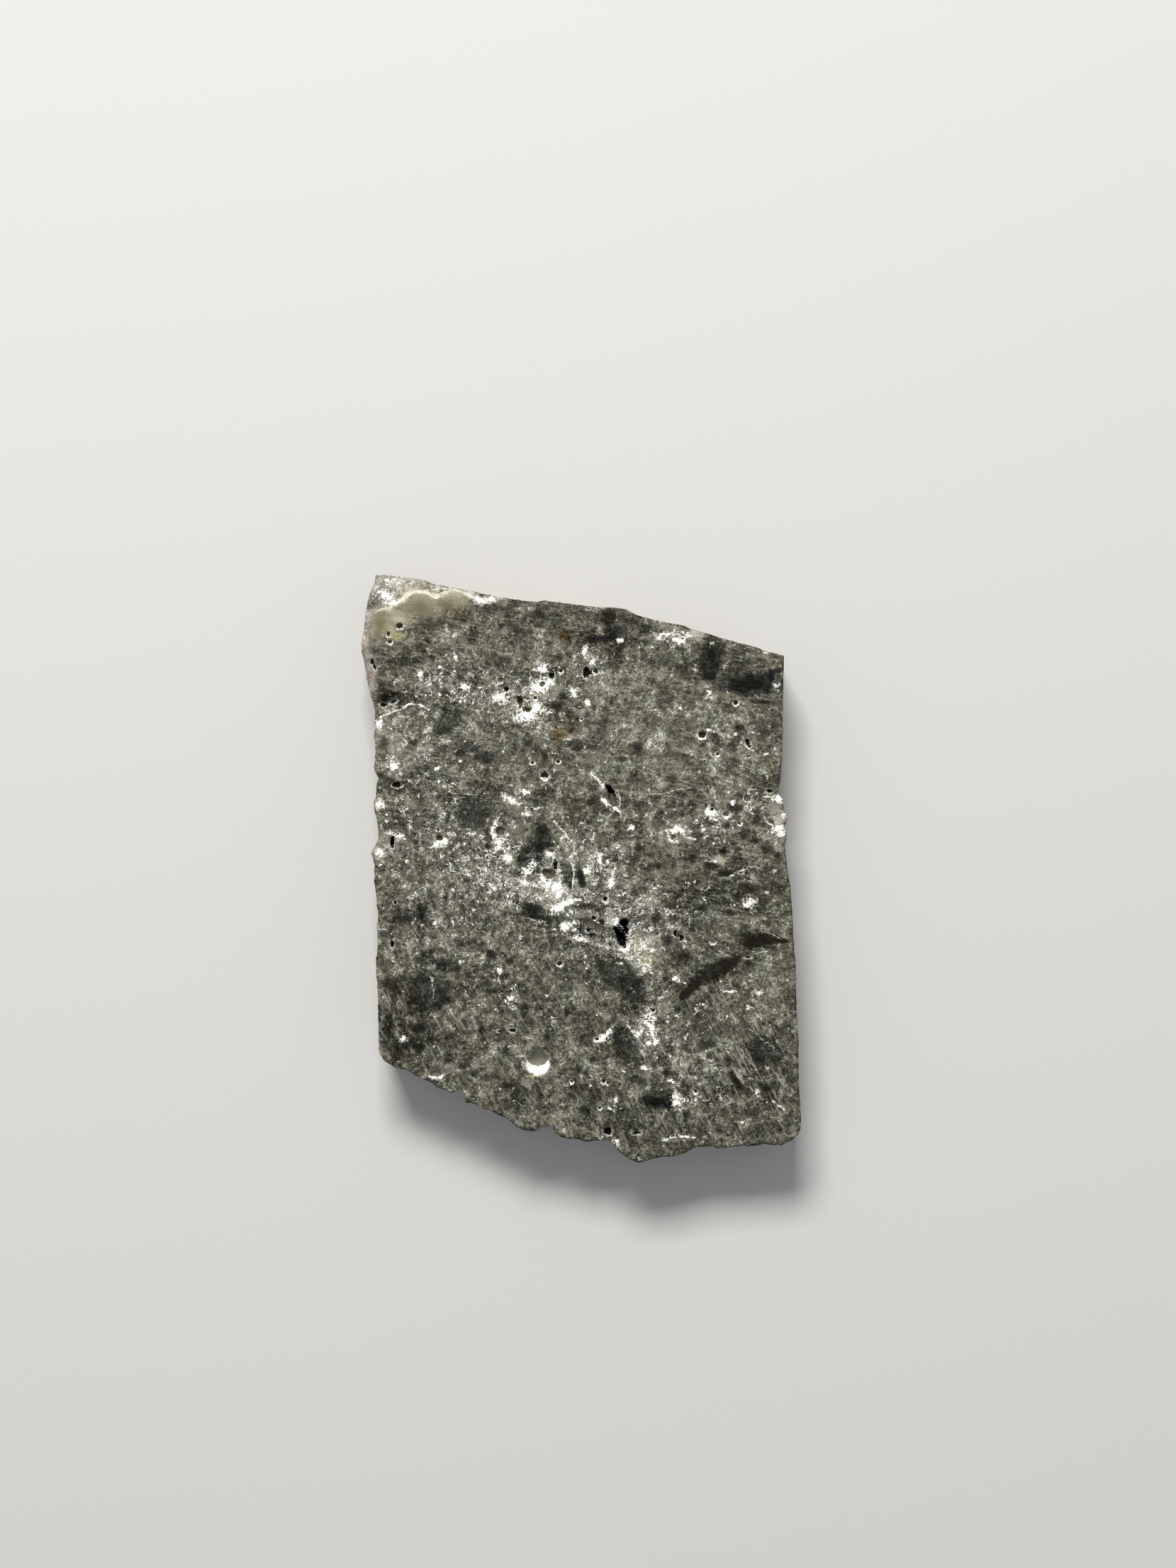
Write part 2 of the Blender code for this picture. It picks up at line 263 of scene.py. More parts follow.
def walk(points, steps, nibble):
    """Places spread evenly along the straight runs between points, with tiny nibbles taken out."""
    corners = np.array(points, float)
    runs = np.linalg.norm(np.diff(corners, axis=0), axis=1)
    travelled = np.concatenate([[0.0], np.cumsum(runs)])
    wanted = np.linspace(0.0, travelled[-1], steps + 1)
    path = np.column_stack([np.interp(wanted, travelled, corners[:, k]) for k in range(2)])
    flat = np.column_stack([path, np.zeros(len(path))])
    still_ends = np.sin(np.linspace(0.0, np.pi, len(path))) ** 0.25
    shifts = [rough_noise(flat, NIBBLE_WIDTH, seed, 3) for seed in (11, 23)]
    return path + nibble * np.column_stack(shifts) * still_ends[:, None]


sides = {
    "bottom": walk(BOTTOM_SIDE, ACROSS, 0.050),
    "top": walk(TOP_SIDE, ACROSS, 0.016),
    "left": walk(LEFT_SIDE, ALONG, 0.028),
    "right": walk(RIGHT_SIDE, ALONG, 0.018),
}
print("The slice is", np.round(np.ptp(np.vstack(list(sides.values())), axis=0), 2), "mm.")

# %% [markdown]
# ## One sheet between four sides
# A Coons patch fills four curves with a smooth grid. If every tiny bite ran on through the whole
# grid, its cells would fold, so each side is split in two: a long bend, which the patch
# carries across the face, and the jagged rest, which fades out within half a millimetre.

# %% The grid of the face
BEND_WAVES = 5
JAG_REACH = 0.5
FACE_LONG, FACE_WIDE = 13.2, 11.3   # the face's mean length and width, in millimetres


def long_bend(side):
    """The side's chord plus the first few sine waves of its distance from that chord."""
    share = np.linspace(0.0, 1.0, len(side))[:, None]
    chord = side[0] + (side[-1] - side[0]) * share
    bend = np.zeros_like(side)
    for wave_number in range(1, BEND_WAVES + 1):
        wave = np.sin(np.pi * wave_number * share)
        bend += wave * 2.0 * ((side - chord) * wave).mean(axis=0)
    return chord + bend


def sheet_between(bottom, top, left, right):
    """A Coons patch of the long bends, plus each side's jags, which fade with distance inwards."""
    u = np.linspace(0.0, 1.0, len(bottom))[None, :, None]
    v = np.linspace(0.0, 1.0, len(left))[:, None, None]
    low, high, near, far = (long_bend(side) for side in (bottom, top, left, right))
    sheet = (1 - v) * low[None] + v * high[None] + (1 - u) * near[:, None] + u * far[:, None]
    sheet -= (1 - u) * (1 - v) * low[0] + u * (1 - v) * low[-1]
    sheet -= (1 - u) * v * high[0] + u * v * high[-1]
    tall = np.linalg.norm(left[-1] - left[0])
    wide = np.linalg.norm(bottom[-1] - bottom[0])
    sheet += (bottom - low)[None] * np.exp(-v * tall / JAG_REACH)
    sheet += (top - high)[None] * np.exp(-(1 - v) * tall / JAG_REACH)
    sheet += (left - near)[:, None] * np.exp(-u * wide / JAG_REACH)
    sheet += (right - far)[:, None] * np.exp(-(1 - u) * wide / JAG_REACH)
    return sheet


face_xy = sheet_between(sides["bottom"], sides["top"], sides["left"], sides["right"])
X = face_xy[..., 0].ravel()
Y = face_xy[..., 1].ravel()
rows = np.linspace(0.0, 1.0, ALONG + 1)[:, None] * np.ones((1, ACROSS + 1))
columns = np.linspace(0.0, 1.0, ACROSS + 1)[None, :] * np.ones((ALONG + 1, 1))
from_end = np.minimum(rows, 1 - rows) * FACE_LONG
from_side = np.minimum(columns, 1 - columns) * FACE_WIDE
from_edge = np.minimum(from_end, from_side).ravel()
print(f"The face grid has {len(X)} points.")

# %% [markdown]
# ## The chipped corner
# At the top left a flake broke off: the sawn face ends in a ragged line, drops over a little
# cliff and goes on as a lower, natural surface that slopes to the rim. The line is drawn as a
# path. Each grid point's signed distance from it says which side it is on and how far down.

# %% Chip
CHIP_LINE = [
    (-5.98, 4.4), (-5.6, 4.8), (-5.55, 5), (-5.5, 5.3), (-5.5, 5.5), (-5.62, 5.8), (-5.7, 6),
    (-5.7, 6.6), (-5.65, 6.8), (-5.55, 6.93), (-5.35, 6.97), (-5.2, 6.93), (-5.1, 7.1), (-4.9, 7.2),
    (-4.75, 7.25), (-4.65, 7.4), (-4.5, 7.5), (-4.3, 7.5), (-4.1, 7.4), (-3.95, 7.3), (-3.8, 7.35),
    (-3.5, 7.5), (-3.3, 7.52), (-3.1, 7.4), (-2.95, 7.3), (-2.9, 7.15), (-2.75, 7.1), (-2.5, 7.15),
    (-2.2, 7.25), (-1.9, 7.6),
]
CHIP_RAGGED = 0.03              # how far the ragged line strays from the path
CLIFF_DROP = 0.22               # height of the little cliff
CLIFF_RUN = 0.10                # and how far it reaches out
FACET_SLOPE = 0.34              # fall of the natural surface for each millimetre outwards
CHIP_ROUGH = 0.035              # height of the lumps on it


def path_distance(x, y, points):
    """Distance to the nearest run of a path, positive on its left side, negative on its right."""
    nearest = np.full(x.shape, 99.0)
    side = np.zeros(x.shape)
    for (x0, y0), (x1, y1) in zip(points[:-1], points[1:]):
        run_x, run_y = x1 - x0, y1 - y0
        share = ((x - x0) * run_x + (y - y0) * run_y) / (run_x**2 + run_y**2)
        share = np.clip(share, 0.0, 1.0)
        off_x, off_y = x - x0 - share * run_x, y - y0 - share * run_y
        away = np.hypot(off_x, off_y)
        closer = away < nearest
        nearest = np.where(closer, away, nearest)
        side = np.where(closer, np.sign(run_x * off_y - run_y * off_x), side)
    return nearest * side


flat_places = np.column_stack([X, Y, np.zeros(len(X))])
past_chip = path_distance(X, Y, CHIP_LINE) + CHIP_RAGGED * rough_noise(flat_places, 0.2, 31)
chipped = smooth_step(past_chip, 0.0, CLIFF_RUN)
facet_lumps = CHIP_ROUGH * rough_noise(flat_places, 0.35, 37)
chip_drop = chipped * (CLIFF_DROP + FACET_SLOPE * np.clip(past_chip, 0, 1) + facet_lumps)
print(f"The chip takes away {chipped.mean():.1%} of the face.")

# %% [markdown]
# ## Bubble pits
# Gas left bubbles in the melt, and the saw opened some of them. Each is an ellipse on the face
# with a rounded bowl under it. Some are deep, with black floors that are painted shade. Some have
# a ring of pale glass, made brighter on its lower side as a painted highlight. In the largest, a
# painted highlight makes the side away from the lamp white while the rest stays grey, and pits of
# some other looks have thinner painted crescents there. They are kept in lists by look: x, y, half
# width, half length, turn in degrees, depth.

# %% Pits
BLACK_PITS = [
    (1.16, -1.5, 0.13, 0.12, 0, 0.36), (1.22, -1.69, 0.075, 0.15, 8, 0.36),
    (0.94, -1.68, 0.075, 0.09, 20, 0.3), (1.08, -1.93, 0.125, 0.28, 22, 0.38),
    (0.8, 2.08, 0.085, 0.23, 35, 0.3), (-5.13, 0.68, 0.06, 0.19, -3, 0.26),
    (-5.13, -2.08, 0.05, 0.1, 0, 0.2), (-5.05, -0.95, 0.04, 0.04, 0, 0.08),
    (-0.7, 0.07, 0.055, 0.13, 3, 0.18), (0.72, -7.15, 0.12, 0.11, 0, 0.2),
    (-1.87, -4.42, 0.07, 0.045, 0, 0.12), (0.36, -1.37, 0.07, 0.06, 0, 0.12),
    (0.2, -1.7, 0.07, 0.045, 0, 0.1), (5.1, 2.07, 0.08, 0.05, 0, 0.1),
    (4.52, 3.39, 0.07, 0.12, 25, 0.14), (-0.8, 5.22, 0.085, 0.11, -10, 0.16),
    (-2.03, 4.85, 0.08, 0.07, 0, 0.12), (0.15, 5.3, 0.1, 0.16, 0, 0.14),
    (0.65, -0.85, 0.06, 0.07, 0, 0.1), (4.52, -2.43, 0.07, 0.026, 0, 0.08),
    (4.33, -0.14, 0.045, 0.022, 0, 0.06), (3.48, 0.2, 0.055, 0.018, 0, 0.06),
    (2.55, -1.78, 0.06, 0.08, 0, 0.1), (2.72, -1.9, 0.07, 0.1, 0, 0.1), (1.5, -7.2, 0.1, 0.04, 0, 0.1),
    (-5.1, 4.5, 0.09, 0.04, 25, 0.14), (-5.38, 4.42, 0.08, 0.06, -10, 0.12),
    (-5.7, 5.6, 0.05, 0.09, 10, 0.1), (-5.62, 5.44, 0.05, 0.06, 0, 0.08),
    (-5, 2.25, 0.12, 0.08, 0, 0.1),
]
RINGED_PITS = [
    (-1, 2.5, 0.11, 0.11, 0, 0.12), (3.28, 3.6, 0.11, 0.11, 0, 0.12), (4.2, 4.47, 0.07, 0.06, 0, 0.1),
    (3.7, 3.08, 0.05, 0.05, 0, 0.06), (-1.25, 4.6, 0.05, 0.05, 0, 0.08),
    (-0.55, 5.33, 0.05, 0.05, 0, 0.08), (0.4, 5.33, 0.07, 0.07, 0, 0.1),
    (-1.32, 2.85, 0.05, 0.05, 0, 0.06), (-0.63, 2.88, 0.05, 0.05, 0, 0.06),
    (3.55, 1.57, 0.05, 0.05, 0, 0.08), (0.6, -5.8, 0.06, 0.06, 0, 0.08),
    (-0.26, -5.81, 0.04, 0.05, 0, 0.08), (1.95, -3.88, 0.05, 0.05, 0, 0.06),
    (-3.88, 1.02, 0.04, 0.04, 0, 0.06), (-0.58, -2.6, 0.08, 0.07, 0, 0.08),
    (0.43, -4.66, 0.05, 0.05, 0, 0.06), (0, 4.03, 0.035, 0.035, 0, 0.05),
    (3.1, -6.08, 0.05, 0.05, 0, 0.06), (0.5, -6.52, 0.04, 0.04, 0, 0.05),
    (4.3, 1.2, 0.05, 0.05, 0, 0.06),
]
CRESCENT_PITS = [
    (5.3, 5, 0.07, 0.07, 0, 0.08), (4.02, -3.32, 0.13, 0.05, 0, 0.06),
    (-3.95, -5.6, 0.18, 0.12, 0, 0.1), (3.57, -2.03, 0.07, 0.06, 0, 0.05),
    (3.93, 1.44, 0.09, 0.1, 0, 0.12),
]
BOWLS = [(-1.18, -5.30, 0.31, 0.32, 0, 0.28)]
GREY_PITS = [
    (0.85, 1.84, 0.13, 0.22, 25, 0.22), (0.66, 1.5, 0.14, 0.1, 0, 0.1),
    (0.22, -1.52, 0.11, 0.12, 0, 0.06), (0.44, -1.64, 0.12, 0.13, 0, 0.06),
    (-1.55, 5, 0.12, 0.1, 0, 0.06), (-1.05, 4.98, 0.09, 0.07, 0, 0.06),
    (-2.2, 0.98, 0.13, 0.13, 0, 0.12), (-0.9, -0.17, 0.18, 0.13, -25, 0.14),
    (5.05, 1.41, 0.07, 0.05, 0, 0.07), (5.16, 1.24, 0.12, 0.05, -25, 0.07),
    (4.5, 1.88, 0.1, 0.1, 0, 0.06), (2.5, 0.82, 0.08, 0.06, 0, 0.06),
]
OLIVE_PITS = [
    (-3.85, 0.8, 0.1, 0.1, 0, 0.14), (-1.66, 4.5, 0.09, 0.18, 10, 0.2),
    (-1.45, 4.28, 0.1, 0.08, 0, 0.14), (-4.93, 6.55, 0.1, 0.08, 30, 0.16),
    (-5.23, 6.33, 0.05, 0.07, 0, 0.12), (-5.19, 6.12, 0.055, 0.055, 0, 0.1),
]
# For each look: how bright its floor and its rim are, and how thick its white crescent is at its
# middle, as a share of the pit's half length. A floor of 0 is painted shade, near black. The rim is
# pale glass, made brighter on its lower side as a painted highlight, and the crescent is a painted
# highlight.
PIT_LOOKS = [
    (BLACK_PITS, (0.0, 0.40, 0.0)), (RINGED_PITS, (0.20, 0.85, 0.22)),
    (CRESCENT_PITS, (0.62, 0.5, 0.42)), (GREY_PITS, (0.52, 0.25, 0.0)),
    (OLIVE_PITS, (0.30, 0.85, 0.12)), (BOWLS, (0.80, 0.45, 0.70)),
]
# Broad dips in the face that have no look of their own.
HOLLOWS = [
    (-5, 4.52, 0.45, 0.2, 8, 0.14), (-5.66, 5.55, 0.1, 0.16, 20, 0.08),
    (-4.95, 7.3, 0.08, 0.1, 0, 0.08), (5.3, 1.45, 0.25, 0.24, 0, 0.07),
    (-5.45, 3.35, 0.18, 0.22, 0, 0.07), (-5.38, 2.42, 0.22, 0.1, -15, 0.1),
]
PIT_RAGGED = 0.16               # how far noise pushes a bowl's outline, as a share of its radius


def inside_ellipse(places, mark):
    """A place as seen from an ellipse: (0, 0) in its middle and 1 away on its outline."""
    x0, y0, half_width, half_length = mark[:4]
    turn = math.radians(mark[4]) if len(mark) > 4 else 0.0
    dx, dy = places[:, 0] - x0, places[:, 1] - y0
    across = (dx * math.cos(turn) + dy * math.sin(turn)) / half_width
    along = (dy * math.cos(turn) - dx * math.sin(turn)) / half_length
    return across, along


def dig(places, pits, first_seed):
    """The deepest ragged bowl at each place."""
    depth = np.zeros(len(places))
    for number, pit in enumerate(pits):
        out = np.hypot(*inside_ellipse(places, pit))
        wobble = lattice_noise(places, max(pit[2], pit[3]) * 0.9, first_seed + number)
        bowl = pit[5] * np.clip(1.0 - (out * (1.0 + PIT_RAGGED * wobble)) ** 2, 0.0, 1.0) ** 0.6
        depth = np.maximum(depth, bowl)
    return depth


all_pits = [pit for pits, _ in PIT_LOOKS for pit in pits]
pit_looks = np.array([look for pits, look in PIT_LOOKS for _ in pits])
pit_depth = np.maximum(dig(flat_places, all_pits, 100), dig(flat_places, HOLLOWS, 400))
print(f"{len(all_pits)} pits, the deepest {pit_depth.max():.2f} mm.")

# %% [markdown]
# ## White marks
# The white feldspar, the dark glass, the rust and the pale clasts have places of their own. They
# are listed as ellipses (x, y, half width, half length, and the turn in degrees if there
# is one) and as streaks (half width, points). White comes first: crumbled crystals as spots,
# veins and curls as streaks. The first three streaks are painted highlights on lit edges of the
# chip: the top of the step near y 4.2 and the lip of the cliff at the top left.

# %% White marks
WHITE_SPOTS = [
    (-0.92, -0.42, 0.2, 0.12, -20), (-0.65, -0.5, 0.16, 0.1, 10), (-0.6, -1.05, 0.26, 0.12, 25),
    (-0.3, -0.9, 0.2, 0.08, 5), (-0.62, -0.72, 0.09, 0.16), (-2.2, 0.72, 0.18, 0.09),
    (-2.36, 0.88, 0.08, 0.14), (0.5, 0.25, 0.07, 0.16, 15), (1.72, -2.1, 0.07, 0.09),
    (1.55, -2.5, 0.08, 0.06), (1.88, -2.55, 0.06, 0.1), (1.3, -1.75, 0.06, 0.08),
    (-2.2, 4.62, 0.22, 0.16), (-1.15, 4.9, 0.32, 0.2, 30), (-1.5, 4.12, 0.34, 0.16),
    (-1.2, 4.35, 0.2, 0.14), (-1.05, 5.4, 0.18, 0.12), (-0.9, 5.05, 0.2, 0.12),
    (-0.2, 4.75, 0.13, 0.12), (0.15, 4.48, 0.1, 0.08), (0.1, 5.85, 0.09, 0.15), (0.3, 5.55, 0.08, 0.1),
    (1.05, 6.18, 0.08, 0.08), (4.55, -0.95, 0.18, 0.12, 20), (5.05, -0.68, 0.06, 0.05),
    (1.35, 1.1, 0.1, 0.08), (1.22, -2.2, 0.16, 0.1), (1.34, -1.95, 0.05, 0.16),
    (1.93, -2.25, 0.08, 0.07), (1.72, -2.75, 0.07, 0.12), (-3.93, 0.6, 0.12, 0.1),
    (-3.7, 0.72, 0.1, 0.14), (-3.17, 0.64, 0.06, 0.06), (-4.95, 0.85, 0.12, 0.08),
    (-5.2, 0.92, 0.12, 0.07), (-5.45, 0.42, 0.16, 0.14), (-5.48, 1.72, 0.14, 0.14),
    (-5.48, 3.9, 0.12, 0.18), (-5.1, 2.82, 0.14, 0.18), (-1.92, 1.85, 0.2, 0.09, -30),
    (-1.55, 2.05, 0.12, 0.1), (-3.9, 2.7, 0.09, 0.07), (-3.6, 2.2, 0.09, 0.08), (-3.4, 5.7, 0.08, 0.08),
    (-3.45, 6.3, 0.07, 0.07), (-3.15, 4.92, 0.14, 0.1), (-4.35, 5.25, 0.1, 0.08),
    (-4.5, -0.73, 0.09, 0.08), (-4.05, -3, 0.07, 0.04), (-2.2, -2.8, 0.1, 0.08),
    (-1.9, -3.55, 0.1, 0.08), (-4.82, -4.65, 0.09, 0.08), (2.85, -7.3, 0.28, 0.05, -8),
    (2.3, -7.38, 0.14, 0.05), (4.8, -3.4, 0.14, 0.08), (2.55, -3, 0.12, 0.08), (2.8, -2.15, 0.08, 0.08),
    (0.55, -7.32, 0.1, 0.06), (0.95, -7.42, 0.1, 0.08), (-5.35, 7.42, 0.2, 0.14, 20),
    (-5.15, 7.2, 0.16, 0.1), (-2.75, 7.28, 0.18, 0.1, -10), (-2.45, 7.3, 0.14, 0.08),
    (-5.3, 7.85, 0.1, 0.06), (1.05, -2.6, 0.1, 0.05), (-2.22, 0.54, 0.16, 0.08, -20),
    (-2, 0.25, 0.11, 0.13), (-1.93, 1.84, 0.22, 0.08, -8), (-1.45, 1.62, 0.12, 0.04, -15),
    (-1.3, 0.12, 0.11, 0.09), (-1.45, -0.1, 0.2, 0.09), (-1.5, -0.4, 0.18, 0.09),
    (-2.35, -0.55, 0.08, 0.08), (-2.5, -0.44, 0.07, 0.04), (-2.4, -0.92, 0.06, 0.05),
    (-0.52, 0.8, 0.07, 0.05), (0.15, -0.08, 0.13, 0.11, -30), (0.8, -0.4, 0.1, 0.13),
    (0.85, -0.15, 0.05, 0.1), (-0.85, 0.37, 0.12, 0.09), (-0.85, -0.6, 0.11, 0.08),
    (-0.65, -1.14, 0.2, 0.11, 25), (-0.45, -1.6, 0.14, 0.12), (-0.2, -1.5, 0.1, 0.07),
    (0, -1.93, 0.22, 0.08, -10), (0.38, -1.44, 0.08, 0.05), (-1.5, 1.45, 0.12, 0.08),
    (-1.15, 1.62, 0.1, 0.06), (-2.35, 1.2, 0.08, 0.1), (0.95, -1.48, 0.09, 0.15),
    (0.56, -4.64, 0.15, 0.09, 20), (0.72, -4.5, 0.1, 0.08, 40), (1.55, -4.48, 0.14, 0.08, -20),
    (1.9, -4.35, 0.09, 0.2), (2.02, -4.72, 0.08, 0.12), (1.95, -4.05, 0.13, 0.07, -30),
    (1.78, -5.45, 0.2, 0.06, -5), (1.76, -4.2, 0.1, 0.09), (1.73, -4.02, 0.05, 0.05),
    (1.85, -4.75, 0.11, 0.08), (2.35, -4.18, 0.05, 0.04), (2.9, -4.25, 0.07, 0.06),
    (3.25, -4.5, 0.06, 0.05), (3.3, -3.68, 0.04, 0.04), (3.12, -3.72, 0.05, 0.04),
    (3.95, -4.02, 0.04, 0.04), (2.83, -4.65, 0.05, 0.07), (0.7, -5.57, 0.04, 0.03),
    (2.42, -5.78, 0.1, 0.07), (2.6, -6.32, 0.16, 0.2, 10), (2.9, -6.32, 0.05, 0.05),
    (3.1, -6.3, 0.05, 0.12), (4.78, -6.1, 0.07, 0.1), (3.35, -5.17, 0.05, 0.04),
    (2.4, -5.12, 0.06, 0.05), (0.95, -6.3, 0.06, 0.1), (0.8, -6.55, 0.12, 0.05, -20),
    (2.62, 6.18, 0.2, 0.1, -30), (2.3, 6.34, 0.2, 0.06, -10), (2.9, 6.3, 0.16, 0.07, -20),
    (2.08, 6.24, 0.1, 0.08), (3.1, 5.38, 0.08, 0.06), (3.1, 5.49, 0.04, 0.04), (3.46, 4.78, 0.07, 0.06),
    (3.5, 4.35, 0.05, 0.03), (3.4, 4.9, 0.06, 0.04), (3.5, 4.62, 0.08, 0.03), (2.7, 4.35, 0.05, 0.07),
    (3.45, 3.72, 0.08, 0.07), (3.97, 4.1, 0.03, 0.03), (3.97, 3.88, 0.05, 0.04),
    (3.7, 3.67, 0.04, 0.03), (3.78, 3.4, 0.03, 0.04), (3.78, 3.2, 0.04, 0.06), (4.98, 3.07, 0.05, 0.04),
    (4.12, 1.78, 0.1, 0.08), (4, 2.04, 0.07, 0.04), (4.6, 1.56, 0.06, 0.1), (3.5, 1.46, 0.16, 0.14),
    (3.6, 1.3, 0.08, 0.06), (3.45, 1.62, 0.07, 0.05), (2.55, 1, 0.28, 0.09, 5), (2.55, 1.13, 0.1, 0.06),
    (3.32, 1.05, 0.06, 0.1), (3.38, 0.84, 0.06, 0.05), (5.38, 1.84, 0.2, 0.11, -15),
    (5.5, 1.45, 0.07, 0.12), (5.34, 1.04, 0.26, 0.1, 10), (5.35, 0.9, 0.15, 0.07),
    (4.45, 5.95, 0.08, 0.03, 15), (5, 5.83, 0.14, 0.03, -10), (3.55, 6.08, 0.05, 0.1),
    (4.3, 2.75, 0.04, 0.03), (3.2, 2.6, 0.04, 0.05), (3.1, 2.42, 0.05, 0.03), (3.15, 1.28, 0.07, 0.04),
    (3.9, 3.57, 0.04, 0.02), (4.35, 3.38, 0.05, 0.05), (2, 4.28, 0.04, 0.03), (2.3, 1.48, 0.05, 0.04),
    (3.6, 0.66, 0.05, 0.04), (3.9, 0.7, 0.05, 0.04),
]
